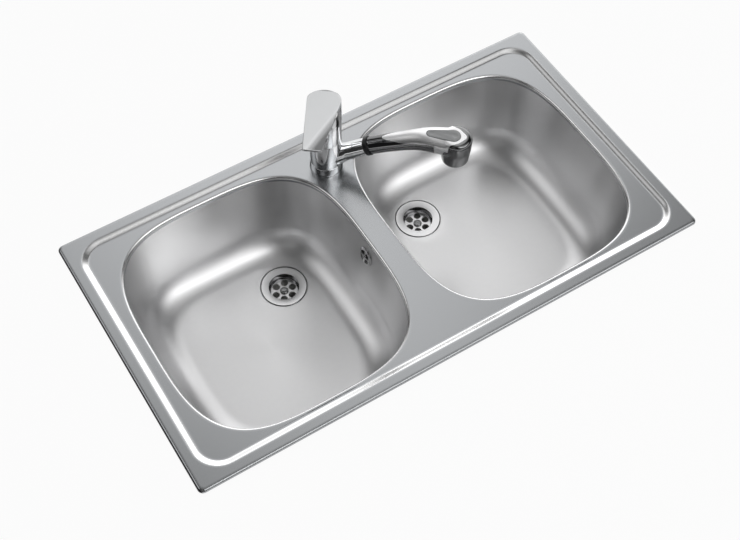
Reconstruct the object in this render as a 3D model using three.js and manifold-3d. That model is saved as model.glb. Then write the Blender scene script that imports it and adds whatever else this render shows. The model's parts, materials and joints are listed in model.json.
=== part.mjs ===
// Double bowl kitchen sink with a single-lever tap and a pull-out spray.
// Millimetres, +Z up. The origin lies in the worktop's plane, at the centre of the rim;
// +X runs along the long side, -Y is the side where the user stands.
import * as THREE from 'three';
import { mergeVertices } from 'three/addons/utils/BufferGeometryUtils.js';
import Module from 'manifold-3d';

const wasm = await Module();
wasm.setup();

// ---------------------------------------------------------------- driving dimensions
const GAP = 0.3; // between two pieces that touch
const RUN = 0.4; // between two pieces that turn or slide on each other

// Sheet, rim and step
const SINK_WIDTH = 800;
const SINK_DEPTH = 435;
const SHEET = 0.9;
const RIM_CORNER_R = 8;
const RIM_HEIGHT = 4.5; // rim top above the worktop
const RIM_ROLL = 4; // radius of the rolled edge
const STEP_START = 16; // from the rim's edge to the top of the step
const STEP_RUN = 11;
const STEP_DROP = 3.8; // deck below the rim top
const STEP_CORNER_R = 35; // at the middle of the step

// Bowls: each opening is a superellipse; the bands lie between it and the rim's edge
const FRONT_BAND = 30.5;
const BACK_BAND = 32.5;
const SIDE_BAND = 39.5;
const MIDDLE_BAND = 33; // between the two openings
const OPENING_POWER = 3.4;
const LIP_R = 4;
const LIP_SKIRT = 4; // straight part of the deck's lip below its rounding
const BOWL_DEPTH = 144; // rim top to bowl floor
const BOWL_TAPER = 8; // degrees
const BOWL_FILLET = 48;

// Wastes
const WASTE_FROM_MIDDLE = 104; // from the opening's edges to the waste's axis
const WASTE_FROM_BACK = 107.1;
const WASTE_FLANGE_R = 35;
const WASTE_RECESS = 2; // pressed seat in the bowl floor
const WASTE_CUP_R = 22.6;
const WASTE_CUP_DEPTH = 11;
const WASTE_METAL = 1;
const GRID_HOLE_R = 5.5;
const GRID_HOLE_CIRCLE_R = 14.1;
const GRID_HOLES = 6;
const WASTE_SCREW_R = 3;
const WASTE_SCREW_HEAD_R = 6.5;
const WASTE_SCREW_HEAD_H = 2.2;
const WASTE_SCREW_LENGTH = 42;
const WASTE_SEAL_T = 3;
const WASTE_BODY_R = 38;
const WASTE_BODY_WALL = 2.6;
const WASTE_BODY_DEPTH = 40; // seal to the start of the outlet
const WASTE_OUTLET_R = 23.5;
const WASTE_OUTLET_LENGTH = 26;
const BOSS_TOP = -20; // from the waste's seat
const BOSS_HEIGHT = 16;

// Overflow in the left bowl's wall towards the middle
const OVERFLOW_DEPTH = 37; // below the rim top
const OVERFLOW_HOLE_R = 11;
const ROSETTE_R = 14.5;
const ROSETTE_T = 2.4;
const ROSETTE_SLOTS = 4;
const ROSETTE_SPOKE = 24; // degrees between two slots
const ROSETTE_HUB_R = 5;
const ROSETTE_SLOT_R = 11;
const CROSS_LENGTH = 4.4; // the cross recess in a screw's head
const CROSS_WIDTH = 0.9;
const CROSS_DEPTH = 0.9;
const OVERFLOW_SCREW_R = 2.5;
const OVERFLOW_SCREW_HEAD_R = 4;
const OVERFLOW_SEAL_T = 2;
const OVERFLOW_PIPE_R = 9;
const OVERFLOW_PIPE_WALL = 1.6;
const OVERFLOW_ELBOW_R = 12;
const OVERFLOW_ELBOW_DROP = 30;
const PIPE_GRIP = 8; // how far the pipe slides into the elbow and over the spigot
const PIPE_SWEEP = 80; // reach of the pipe's bend
const INLET_DROP = 24; // waste body's top face to its side inlet

// Rim seal and fixings below the deck
const SEAL_INSET = 3.2;
const SEAL_WIDTH = 8;
const RAIL_LENGTH = 80;
const RAIL_WIDTH = 8;
const RAIL_HEIGHT = 9;
const RAIL_T = 1.5;
const CLIP_WIDTH = 16;
const CLIP_T = 2;
const WORKTOP = 30; // thickest worktop that the clips reach under
const CLIP_REACH = 19; // from the rail outwards
const CLIP_TOOTH = 4;
const CLIP_SCREW_R = 2.5;
const CLIP_SCREW_HEAD_R = 4.5;
const CLIP_SCREW_HEAD_H = 3;

// Tap: heights are above the deck
const TAP_FROM_BACK = 67.5; // rim's back edge to the tap's axis
const TAP_HOLE_R = 17.5;
const BASE_R = 24.5;
const BASE_HEIGHT = 13.8;
const COLUMN_R = 23.5;
const COLLAR_TOP = 64;
const HANDLE_JOINT = 105;
const CORE_R = 17;
const GASKET_T = 1.8;
const GASKET_R = 22;
const GLIDE_HEIGHT = 4;
const GLIDE_T = 2.8;
const CARTRIDGE_R = 17.5;
const CARTRIDGE_BOTTOM = 72;
const CARTRIDGE_TOP = 97;
const NUT_HEIGHT = 6;
const DOME_R = 20;
const DOME_HEIGHT = 6;
const SHANK_R = 16;
const SHANK_WALL = 3;
const SHANK_LENGTH = 62; // below the deck's top face
const SUPPORT_T = 10;
const SUPPORT_WIDTH = 80;
const SUPPORT_DEPTH = 54;
const WASHER_R = 25;
const STEEL_WASHER_T = 2;
const SHANK_NUT_R = 26;
const SHANK_NUT_HEIGHT = 14;
const INLET_R = 3.6;
const INLET_BORE_R = 2.2;
const INLET_SIDE = 6; // from the tap's axis, to the sides and to the back
const INLET_BACK = 5.5;
const INLET_TAIL = 6; // past the shank's end

// Spout: a swivelling collar with a rising tube
const SPOUT_REST = -39.6; // degrees, direction seen in plan
const SPOUT_ROOT_HEIGHT = 28; // where the tube's axis leaves the core's surface
const SPOUT_RISE = 29.5; // degrees
const SPOUT_TUBE_R = 13;
const SPOUT_BORE_R = 10;
const SPOUT_LENGTH = 48.5; // along the tube's axis, from the core to the ring
const WINDOW_LOW = 20; // the core's window, through which the hose enters the spout
const WINDOW_HIGH = 42;
const WINDOW_HALF = 93; // degrees to each side of the front
const RING_WIDTH = 6.5;
const RING_R = 14;

// Spray: grip, head and rocker pad, in the spout's vertical plane
const SPRAY_NECK_R = 9.5;
const SPRAY_NECK_LENGTH = 11;
const HOSE_NUT_R = 8.6;
const HOSE_NUT_LENGTH = 13;
const HOSE_R = 6.5;
const HOSE_BORE_R = 4;
const HOSE_TAIL = 25;
const HEAD_REACH = 187; // tap axis to head axis
const HEAD_R = 22.5;
const HEAD_TOP = 97;
const HEAD_EDGE = 8; // rounding of the head's top edge
const HEAD_OUTLET_R = 19.5;
const HEAD_BOTTOM = 49;
const OUTLET_RECESS = 4;
const OUTLET_LIP = 1.8;
const AERATOR_R = 8;
const NOZZLES = 9;
const NOZZLE_R = 1.2;
const NOZZLE_PROUD = 0.6;
const PAD_TAIL_BACK = 37; // from the head's axis back to the centre of the pad's tail
const PAD_TAIL_R = 6;
const PAD_NOSE_BACK = 5;
const PAD_NOSE_R = 10.5;
const PAD_PROUD = 0.9;
const PAD_DEPTH = 3;
const PAD_ROCK = 2; // free depth below the pad
const PAD_PIN_R = 1.2;
const PAD_PIN_DEPTH = 5.5; // below the pad's top face
const LUG_WIDTH = 8;
const LUG_LENGTH = 5;
const LUG_WALL = 1.2; // below the pin
const LUG_BITE = 4; // of the pin in the shell beside the lug

// Lever
const LEVER_REST = -127.8; // degrees, direction seen in plan
const LEVER_CAP_R = 24;
const LEVER_AXIS_TOP = 144; // top face above the deck, at the tap axis
const LEVER_SLOPE = 17.6; // degrees
const LEVER_LENGTH = 120.4; // tap axis to tip
const LEVER_TIP_HALF = 13;
const LEVER_TIP_CORNER_R = 2.5;
const LEVER_TIP_T = 3.4;
const LEVER_ROOT_T = 8.5;
const LEVER_ROOT_FILLET = 9;
const LEVER_LIFT = 25; // degrees
const LEVER_CAVITY_R = 21.2;
const LEVER_CAVITY_H = 14;
const STEM_WIDTH = 8;
const STEM_TOP = 132;
const STEM_BELOW = 5; // below the hinge
const SPINDLE_R = 8;
const SPINDLE_SUNK = 8; // into the cartridge
const EAR_WIDTH = 6;
const EAR_ABOVE = 3.2; // above the hinge
const LEVER_PIN_R = 1.5;
const GRUB_R = 2.5;
const GRUB_LENGTH = 10;
const GRUB_HEIGHT = 124;
const PLUG_R = 4;
const PLUG_T = 2;

// Facets
const BOWL_SIDES = 28;
const CORNER_STEPS = 4;
const ROUND_SIDES = 22;
const HIDDEN_SIDES = 14;
const GRIP_SIDES = 18;
const GRIP_STEPS = 8;
const SMALL_SIDES = 9;
const PIPE_SIDES = 8;
const PIPE_STEPS = 13;
const ARC_STEPS = 3;

// ---------------------------------------------------------------- levels and places that follow
const DECK_TOP = RIM_HEIGHT - STEP_DROP;
const DECK_UNDER = DECK_TOP - SHEET;
const STEP_END = STEP_START + STEP_RUN;
const OPENING_HALF_X = (SINK_WIDTH / 2 - SIDE_BAND - MIDDLE_BAND / 2) / 2;
const OPENING_HALF_Y = (SINK_DEPTH - FRONT_BAND - BACK_BAND) / 2;
const BOWL_OFFSET_X = MIDDLE_BAND / 2 + OPENING_HALF_X;
const BOWL_OFFSET_Y = (FRONT_BAND - BACK_BAND) / 2;
const WASTE_X = MIDDLE_BAND / 2 + WASTE_FROM_MIDDLE;
const WASTE_Y = SINK_DEPTH / 2 - BACK_BAND - WASTE_FROM_BACK;
const TAP_Y = SINK_DEPTH / 2 - TAP_FROM_BACK;
const SEAM = DECK_TOP - LIP_R - LIP_SKIRT;
const FLOOR = RIM_HEIGHT - BOWL_DEPTH;
const WASTE_SEAT = FLOOR - WASTE_RECESS;
const WASTE_HOLE_R = WASTE_CUP_R + 3.2;
const { degToRad } = THREE.MathUtils;

// ---------------------------------------------------------------- finishes
const finish = (color, roughness, metalness) =>
  new THREE.MeshStandardMaterial({ color, roughness, metalness });
const brushedSteel = finish(0xb9bbbe, 0.34, 1);
const polishedSteel = finish(0xc9cbcd, 0.18, 1);
const chrome = finish(0xd8dadd, 0.06, 1);
const satinChrome = finish(0xcfd1d4, 0.3, 0.9);
const zincSteel = finish(0x9a9c9e, 0.45, 1);
const brass = finish(0xb08d4a, 0.35, 1);
const blackPlastic = finish(0x141416, 0.4, 0);
const greyPlastic = finish(0xa4a5a8, 0.6, 0);
const whitePlastic = finish(0xe6e6e2, 0.5, 0);
const pipePlastic = finish(0xd5d5d0, 0.5, 0);
const darkRubber = finish(0x1d1d1f, 0.8, 0);
const braidedHose = finish(0x8d9093, 0.5, 0.3);
const indexRed = finish(0xb03a34, 0.45, 0);

// ---------------------------------------------------------------- solids
// A closed mesh as a solid: shared corners are merged and faces turned outwards.
function solid(geometry) {
  const bare = new THREE.BufferGeometry();
  bare.setAttribute('position', geometry.getAttribute('position'));
  if (geometry.index) bare.setIndex(geometry.index);
  const merged = mergeVertices(bare, 1e-4);
  const corners = merged.getAttribute('position').array;
  const faces = [];
  const order = merged.index.array;
  for (let i = 0; i < order.length; i += 3) {
    const [a, b, c] = [order[i], order[i + 1], order[i + 2]];
    if (a !== b && b !== c && c !== a) faces.push(a, b, c);
  }
  if (signedVolume(corners, faces) < 0) faces.reverse();
  return new wasm.Manifold(new wasm.Mesh({
    numProp: 3,
    vertProperties: Float32Array.from(corners),
    triVerts: Uint32Array.from(faces),
  }));
}

function signedVolume(corners, faces) {
  const at = (i) => new THREE.Vector3().fromArray(corners, 3 * i);
  let sum = 0;
  for (let i = 0; i < faces.length; i += 3) {
    sum += at(faces[i]).dot(at(faces[i + 1]).cross(at(faces[i + 2])));
  }
  return sum;
}

function geometryOf(body) {
  const mesh = body.getMesh();
  const geometry = new THREE.BufferGeometry();
  geometry.setAttribute('position', new THREE.BufferAttribute(mesh.vertProperties, mesh.numProp));
  geometry.setIndex(new THREE.BufferAttribute(mesh.triVerts, 1));
  geometry.computeVertexNormals();
  return geometry;
}

// Puts a named piece into a group.
function piece(group, name, body, material) {
  const mesh = new THREE.Mesh(geometryOf(body), material);
  mesh.name = name;
  group.add(mesh);
  return mesh;
}

// A closed section [radius, height] turned about the Z axis.
function revolve(section, sides = ROUND_SIDES) {
  const points = section.map(([r, z]) => new THREE.Vector2(r, z));
  const onAxis = section[0][0] === 0 && section[section.length - 1][0] === 0;
  if (!onAxis) points.push(points[0].clone());
  return solid(new THREE.LatheGeometry(points, sides).rotateX(Math.PI / 2));
}

function cylinder(radius, low, high, sides = ROUND_SIDES) {
  return revolve([[0, low], [radius, low], [radius, high], [0, high]], sides);
}

function washer(outer, inner, low, high, sides = HIDDEN_SIDES) {
  return revolve([[inner, low], [outer, low], [outer, high], [inner, high]], sides);
}

// A flat outline [x, y] raised from one height to another.
function prism(outline, low, high) {
  const shape = new THREE.Shape(outline.map(([x, y]) => new THREE.Vector2(x, y)));
  const geometry = new THREE.ExtrudeGeometry(shape, { depth: high - low, bevelEnabled: false });
  return solid(geometry.translate(0, 0, low));
}

function rectangle(x0, x1, y0, y1) {
  return [[x0, y0], [x1, y0], [x1, y1], [x0, y1]];
}

// An outline [x, z] drawn in a vertical plane and given a width across it.
function slab(outline, width) {
  const shape = new THREE.Shape(outline.map(([x, z]) => new THREE.Vector2(x, z)));
  const geometry = new THREE.ExtrudeGeometry(shape, { depth: width, bevelEnabled: false });
  return solid(geometry.rotateX(Math.PI / 2).translate(0, width / 2, 0));
}

// Rings of points joined one to the next; the two ends are closed flat.
function loft(rings) {
  const count = rings[0].length;
  const corners = rings.flat();
  const faces = [];
  for (let i = 0; i + 1 < rings.length; i += 1) joinRings(faces, i * count, (i + 1) * count, count);
  for (const [start, flip] of [[0, true], [(rings.length - 1) * count, false]]) {
    const middle = corners.slice(start, start + count)
      .reduce((sum, p) => sum.add(p), new THREE.Vector3()).divideScalar(count);
    corners.push(middle);
    for (let k = 0; k < count; k += 1) {
      const pair = [start + k, start + (k + 1) % count];
      if (flip) pair.reverse();
      faces.push(corners.length - 1, ...pair);
    }
  }
  return solidOf(corners, faces);
}

// Rings of points joined one to the next and the last to the first, like a picture frame.
function frameLoft(rings) {
  const count = rings[0].length;
  const faces = [];
  rings.forEach((_, i) => joinRings(faces, i * count, ((i + 1) % rings.length) * count, count));
  return solidOf(rings.flat(), faces);
}

function joinRings(faces, first, second, count) {
  for (let k = 0; k < count; k += 1) {
    const next = (k + 1) % count;
    faces.push(first + k, first + next, second + next);
    faces.push(first + k, second + next, second + k);
  }
}

function solidOf(corners, faces) {
  const geometry = new THREE.BufferGeometry();
  geometry.setFromPoints(corners);
  geometry.setIndex(faces);
  return solid(geometry);
}

function moved(body, x, y, z) {
  return body.translate([x, y, z]);
}

// ---------------------------------------------------------------- outlines
function arc(cx, cy, radius, from, to, steps = ARC_STEPS) {
  return Array.from({ length: steps + 1 }, (_, i) => {
    const angle = degToRad(from + ((to - from) * i) / steps);
    return [cx + radius * Math.cos(angle), cy + radius * Math.sin(angle)];
  });
}

// The sink's rectangle, drawn in from the rim's edge by an inset, with round corners.
function rimRing(inset, cornerR, height) {
  const halfX = SINK_WIDTH / 2 - inset - cornerR;
  const halfY = SINK_DEPTH / 2 - inset - cornerR;
  const corners = [[1, 1, 0], [-1, 1, 90], [-1, -1, 180], [1, -1, 270]];
  return corners.flatMap(([sx, sy, turn]) =>
    arc(sx * halfX, sy * halfY, cornerR, turn, turn + 90, CORNER_STEPS)
      .map(([x, y]) => new THREE.Vector3(x, y, height)));
}

// A bowl's outline, drawn in from its opening by an inset.
function bowlRing(side, inset, height) {
  const power = 2 / OPENING_POWER;
  return Array.from({ length: BOWL_SIDES }, (_, i) => {
    const angle = (2 * Math.PI * (i + 0.5)) / BOWL_SIDES;
    const [c, s] = [Math.cos(angle), Math.sin(angle)];
    return new THREE.Vector3(
      side * BOWL_OFFSET_X + (OPENING_HALF_X - inset) * Math.sign(c) * Math.abs(c) ** power,
      BOWL_OFFSET_Y + (OPENING_HALF_Y - inset) * Math.sign(s) * Math.abs(s) ** power,
      height,
    );
  });
}

// A line moved sideways by a distance, with its corners mitred.
function offsetLine(points, distance) {
  const line = points.map(([x, y]) => new THREE.Vector2(x, y));
  const normal = (a, b) => new THREE.Vector2(a.y - b.y, b.x - a.x).normalize();
  return line.map((point, i) => {
    const before = normal(line[Math.max(i - 1, 0)], line[Math.max(i, 1)]);
    const after = normal(line[Math.min(i, line.length - 2)], line[Math.min(i + 1, line.length - 1)]);
    const mitre = before.clone().add(after).normalize();
    const reach = distance / mitre.dot(after);
    return [point.x + mitre.x * reach, point.y + mitre.y * reach];
  });
}

// ---------------------------------------------------------------- sink body
// The rim's section: out at the worktop, over the rolled edge, down the step to the deck.
function rimSection(sheetIn, lowest) {
  const roll = RIM_ROLL - sheetIn;
  const rolled = arc(RIM_ROLL, RIM_HEIGHT - RIM_ROLL, roll, 180, 90)
    .map(([inset, z]) => [inset, z, RIM_CORNER_R]);
  return [
    [sheetIn, lowest, RIM_CORNER_R],
    ...rolled,
    [STEP_START, RIM_HEIGHT - sheetIn, STEP_CORNER_R + STEP_RUN / 2],
    [STEP_END, DECK_TOP - sheetIn, STEP_CORNER_R - STEP_RUN / 2],
  ].map(([inset, z, r]) => rimRing(inset, Math.max(r - (inset < STEP_START ? inset / 2 : 0), 1), z));
}

// The deck's lip around one bowl: a quarter round and a short skirt, one sheet thick.
function lipRings(side) {
  const overlap = 1;
  const outerArc = arc(0, -LIP_R, LIP_R, 90, 0);
  const innerArc = arc(0, -LIP_R, LIP_R - SHEET, 0, 90, 2);
  const section = [
    [-overlap, 0],
    ...outerArc,
    [LIP_R, -LIP_R - LIP_SKIRT],
    [LIP_R - SHEET, -LIP_R - LIP_SKIRT],
    ...innerArc,
    [-overlap, -SHEET],
  ];
  return section.map(([inset, z]) => bowlRing(side, inset, DECK_TOP + z));
}

function deck() {
  const top = loft(rimSection(0, 0));
  const under = loft(rimSection(SHEET, -1));
  let sheet = top.subtract(under);
  for (const side of [-1, 1]) {
    const opening = bowlRing(side, 0, 0).map((p) => [p.x, p.y]);
    sheet = sheet.subtract(prism(opening, DECK_UNDER - 1, RIM_HEIGHT + 1));
    sheet = sheet.add(frameLoft(lipRings(side)));
  }
  return sheet.subtract(moved(cylinder(TAP_HOLE_R, DECK_UNDER - 1, RIM_HEIGHT + 1), 0, TAP_Y, 0));
}

// The bowl's wall as [inset, height] from its seam to its floor, moved out by part of the sheet.
function bowlWall(outwards) {
  const slope = Math.tan(degToRad(BOWL_TAPER));
  const footHeight = FLOOR + BOWL_FILLET * (1 - Math.sin(degToRad(BOWL_TAPER)));
  const footInset = LIP_R + (SEAM - footHeight) * slope;
  const centreInset = footInset + BOWL_FILLET * Math.cos(degToRad(BOWL_TAPER));
  const top = [LIP_R, SEAM - GAP];
  const turn = 4;
  const foot = Array.from({ length: turn + 1 }, (_, i) => {
    const angle = degToRad(BOWL_TAPER + ((90 - BOWL_TAPER) * i) / turn);
    const reach = BOWL_FILLET + outwards;
    return [
      centreInset - reach * Math.cos(angle),
      FLOOR + BOWL_FILLET - reach * Math.sin(angle),
    ];
  });
  return [[top[0] - outwards, top[1]], ...foot];
}

function wallInset(height) {
  return LIP_R + (SEAM - height) * Math.tan(degToRad(BOWL_TAPER));
}

function bowl(side) {
  const outer = bowlWall(SHEET).map(([inset, z]) => bowlRing(side, inset, z)).reverse();
  const inner = bowlWall(0).map(([inset, z]) => bowlRing(side, inset, z));
  const seatR = WASTE_FLANGE_R + 1.5;
  const [x, y] = [side * WASTE_X, WASTE_Y];
  let shell = loft([...outer, ...inner]);
  const pressed = cylinder(seatR + SHEET, WASTE_SEAT - SHEET, FLOOR - SHEET / 2);
  const seat = cylinder(seatR, WASTE_SEAT, FLOOR + 1);
  const hole = cylinder(WASTE_HOLE_R, WASTE_SEAT - 5, FLOOR);
  shell = shell.add(moved(pressed, x, y, 0)).subtract(moved(seat, x, y, 0));
  shell = shell.subtract(moved(hole, x, y, 0));
  if (side < 0) {
    const drill = cylinder(OVERFLOW_HOLE_R, -10, 10);
    shell = shell.subtract(drill.transform(overflowPlace.elements));
  }
  return shell;
}

// ---------------------------------------------------------------- overflow
// Local frame: +Z is the wall's normal into the bowl, +X runs up the wall.
const overflowHeight = RIM_HEIGHT - OVERFLOW_DEPTH;
const overflowWall = bowlRing(-1, wallInset(overflowHeight), overflowHeight)[0];
const overflowPlace = new THREE.Matrix4()
  .makeRotationY(-degToRad(90 - BOWL_TAPER))
  .setPosition(overflowWall.x, BOWL_OFFSET_Y, overflowHeight);
const elbowAxis = -SHEET - GAP - OVERFLOW_SEAL_T - OVERFLOW_ELBOW_R - 1;

function rosette() {
  let plate = revolve([
    [0, GAP], [ROSETTE_R, GAP], [ROSETTE_R, GAP + ROSETTE_T / 3],
    [ROSETTE_R - 3, GAP + ROSETTE_T], [0, GAP + ROSETTE_T],
  ]);
  const half = (360 / ROSETTE_SLOTS - ROSETTE_SPOKE) / 2;
  const outline = [
    ...arc(0, 0, ROSETTE_SLOT_R, -half, half), ...arc(0, 0, ROSETTE_HUB_R, half, -half, 2),
  ];
  for (let i = 0; i < ROSETTE_SLOTS; i += 1) {
    const slot = prism(outline, 0, ROSETTE_T + 1);
    plate = plate.subtract(slot.rotate([0, 0, 45 + (360 * i) / ROSETTE_SLOTS]));
  }
  return plate.subtract(cylinder(OVERFLOW_SCREW_R + GAP, 0, ROSETTE_T + 1, SMALL_SIDES));
}

function overflowElbow() {
  const back = elbowAxis - OVERFLOW_ELBOW_R;
  const face = -SHEET - 2 * GAP - OVERFLOW_SEAL_T;
  const flangeR = OVERFLOW_HOLE_R + 6;
  const throat = revolve([
    [0, back], [OVERFLOW_ELBOW_R, back], [OVERFLOW_ELBOW_R, face - 3],
    [flangeR, face - 3], [flangeR, face], [0, face],
  ], HIDDEN_SIDES);
  const boreR = OVERFLOW_PIPE_R + RUN;
  const down = cylinder(OVERFLOW_ELBOW_R, 0, OVERFLOW_ELBOW_DROP, HIDDEN_SIDES).rotate([0, -90, 0]);
  const downBore = cylinder(boreR, 0, OVERFLOW_ELBOW_DROP + 1, HIDDEN_SIDES).rotate([0, -90, 0]);
  const bore = cylinder(boreR, back + OVERFLOW_PIPE_WALL, face + 1, HIDDEN_SIDES);
  const bridge = cylinder(OVERFLOW_SCREW_R + 2, back + 0.5, face, SMALL_SIDES);
  const thread = cylinder(OVERFLOW_SCREW_R + GAP, back + OVERFLOW_PIPE_WALL, face + 1, SMALL_SIDES);
  return throat.add(moved(down, 0, 0, elbowAxis)).subtract(bore)
    .subtract(moved(downBore, 0, 0, elbowAxis)).add(bridge).subtract(thread);
}

function overflow(group) {
  const fitting = new THREE.Group();
  fitting.applyMatrix4(overflowPlace);
  group.add(fitting);
  piece(fitting, 'overflow_rosette', rosette(), polishedSteel);
  const headBase = GAP + ROSETTE_T + GAP;
  const threadEnd = elbowAxis - OVERFLOW_ELBOW_R + OVERFLOW_PIPE_WALL + 1;
  const screw = revolve([
    [0, threadEnd], [OVERFLOW_SCREW_R, threadEnd], [OVERFLOW_SCREW_R, headBase],
    [OVERFLOW_SCREW_HEAD_R, headBase], [OVERFLOW_SCREW_HEAD_R - 1, headBase + 1.6],
    [0, headBase + 1.6],
  ], SMALL_SIDES);
  piece(fitting, 'overflow_screw', crossSlotted(screw, headBase + 1.6), polishedSteel);
  const sealTop = -SHEET - GAP;
  const seal = washer(OVERFLOW_HOLE_R + 5, OVERFLOW_HOLE_R + 0.5, sealTop - OVERFLOW_SEAL_T, sealTop);
  piece(fitting, 'overflow_seal', seal, darkRubber);
  piece(fitting, 'overflow_elbow', overflowElbow(), pipePlastic);
  piece(group, 'overflow_pipe', overflowPipe(), pipePlastic);
}

// A cross recess cut into a screw head that faces +Z.
function crossSlotted(screw, top) {
  const [length, width, depth] = [CROSS_LENGTH / 2, CROSS_WIDTH / 2, CROSS_DEPTH];
  const slot = (a, b) => prism(rectangle(-a, a, -b, b), top - depth, top + 1);
  return screw.subtract(slot(length, width)).subtract(slot(width, length));
}

// Where the left waste's side inlet points, and its height.
const inletHeight = WASTE_SEAT - SHEET - WASTE_SEAL_T - 2 * GAP - INLET_DROP;
const elbowMouth = new THREE.Vector3(-OVERFLOW_ELBOW_DROP, 0, elbowAxis).applyMatrix4(overflowPlace);
const inletAxis = new THREE.Vector3(elbowMouth.x + WASTE_X, elbowMouth.y - WASTE_Y, 0).normalize();
const flatToFlat = Math.cos(Math.PI / PIPE_SIDES);
const spigotR = (OVERFLOW_PIPE_R - OVERFLOW_PIPE_WALL) * flatToFlat - RUN;
const spigotReach = WASTE_OUTLET_R + PIPE_GRIP + 8;

// The pipe starts inside the elbow, runs down the wall and under the bowl, and ends over
// the waste's spigot.
function overflowPipe() {
  const down = new THREE.Vector3(-1, 0, 0).transformDirection(overflowPlace);
  const straight = 3 * PIPE_GRIP;
  const start = elbowMouth.clone().addScaledVector(down, -PIPE_GRIP);
  const startEnd = start.clone().addScaledVector(down, straight);
  const end = new THREE.Vector3(-WASTE_X, WASTE_Y, inletHeight)
    .addScaledVector(inletAxis, spigotReach - PIPE_GRIP);
  const endStart = end.clone().addScaledVector(inletAxis, straight);
  const route = new THREE.CurvePath();
  route.add(new THREE.LineCurve3(start, startEnd));
  route.add(new THREE.CubicBezierCurve3(
    startEnd,
    startEnd.clone().addScaledVector(down, PIPE_SWEEP),
    endStart.clone().addScaledVector(inletAxis, PIPE_SWEEP / 2),
    endStart,
  ));
  route.add(new THREE.LineCurve3(endStart, end));
  const ring = (radius) => arc(0, 0, radius, 0, 360, PIPE_SIDES).slice(0, -1)
    .map(([x, y]) => new THREE.Vector2(x, y));
  const section = new THREE.Shape(ring(OVERFLOW_PIPE_R));
  section.holes.push(new THREE.Path(ring(OVERFLOW_PIPE_R - OVERFLOW_PIPE_WALL).reverse()));
  const settings = { steps: PIPE_STEPS, extrudePath: route, bevelEnabled: false };
  return solid(new THREE.ExtrudeGeometry(section, settings));
}

// ---------------------------------------------------------------- wastes
// Local frame: the waste's axis, with z = 0 on the pressed seat in the bowl's floor.
function wasteFlange() {
  const t = WASTE_METAL;
  const cup = WASTE_CUP_R;
  const floor = -WASTE_CUP_DEPTH;
  let flange = revolve([
    [0, floor], [cup - 3, floor], [cup, floor + 3], [cup, -0.8], [cup + 2, 0.9],
    [WASTE_FLANGE_R - 0.8, WASTE_RECESS + 0.3], [WASTE_FLANGE_R, WASTE_RECESS - 0.4],
    [WASTE_FLANGE_R - 0.6, GAP], [WASTE_HOLE_R, GAP], [cup + t, -1.8], [cup + t, floor + 2.6],
    [cup - 2.6, floor - t], [0, floor - t],
  ]);
  for (let i = 0; i < GRID_HOLES; i += 1) {
    const [[x, y]] = arc(0, 0, GRID_HOLE_CIRCLE_R, (360 * i) / GRID_HOLES, 360, 1);
    flange = flange.subtract(moved(cylinder(GRID_HOLE_R, floor - 3, floor + 3, SMALL_SIDES), x, y, 0));
  }
  return flange.subtract(cylinder(WASTE_SCREW_R + GAP, floor - 3, floor + 3, SMALL_SIDES));
}

function wasteScrew() {
  const base = -WASTE_CUP_DEPTH + GAP;
  const top = base + WASTE_SCREW_HEAD_H;
  const tip = base - WASTE_SCREW_LENGTH;
  const screw = revolve([
    [0, tip], [WASTE_SCREW_R, tip], [WASTE_SCREW_R, base], [WASTE_SCREW_HEAD_R, base],
    [WASTE_SCREW_HEAD_R, base + 0.8], [WASTE_SCREW_HEAD_R - 2, top], [0, top],
  ], SMALL_SIDES);
  return crossSlotted(screw, top);
}

// Levels below the bowl's floor, in the waste's frame.
const wasteSealTop = -SHEET - GAP;
const wasteBodyTop = wasteSealTop - WASTE_SEAL_T - GAP;
const wasteNeck = wasteBodyTop - WASTE_BODY_DEPTH;
const wasteEnd = wasteNeck - WASTE_OUTLET_LENGTH;

function wasteBody(side) {
  const wall = WASTE_BODY_WALL;
  const inside = WASTE_CUP_R + WASTE_METAL + GAP + 3;
  const outletBore = WASTE_OUTLET_R - wall;
  let body = revolve([
    [inside, wasteBodyTop], [WASTE_BODY_R, wasteBodyTop], [WASTE_BODY_R, wasteBodyTop - 4],
    [inside + wall, wasteBodyTop - 6], [inside + wall, wasteNeck + 12], [WASTE_OUTLET_R, wasteNeck],
    [WASTE_OUTLET_R, wasteEnd], [outletBore, wasteEnd], [outletBore, wasteNeck + 1],
    [inside, wasteNeck + 13],
  ], HIDDEN_SIDES);
  // A bridge across the body carries the boss that the screw draws on.
  const bossLow = BOSS_TOP - BOSS_HEIGHT;
  const bridge = slab(rectangle(-inside - 1, inside + 1, bossLow, BOSS_TOP - 4), wall);
  body = body.add(bridge).add(cylinder(WASTE_SCREW_R + 3, bossLow, BOSS_TOP, SMALL_SIDES));
  body = body.subtract(cylinder(WASTE_SCREW_R + GAP, wasteEnd, BOSS_TOP + 1, SMALL_SIDES));
  if (side < 0) {
    const lift = inletHeight - WASTE_SEAT;
    const along = THREE.MathUtils.radToDeg(Math.atan2(inletAxis.y, inletAxis.x));
    const spigot = cylinder(spigotR, inside + 1, spigotReach, SMALL_SIDES).rotate([0, 90, 0]);
    const bore = cylinder(spigotR - OVERFLOW_PIPE_WALL, inside - 6, spigotReach + 1, SMALL_SIDES)
      .rotate([0, 90, 0]);
    body = body.add(moved(spigot.rotate([0, 0, along]), 0, 0, lift));
    body = body.subtract(moved(bore.rotate([0, 0, along]), 0, 0, lift));
  }
  return body;
}

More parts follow.
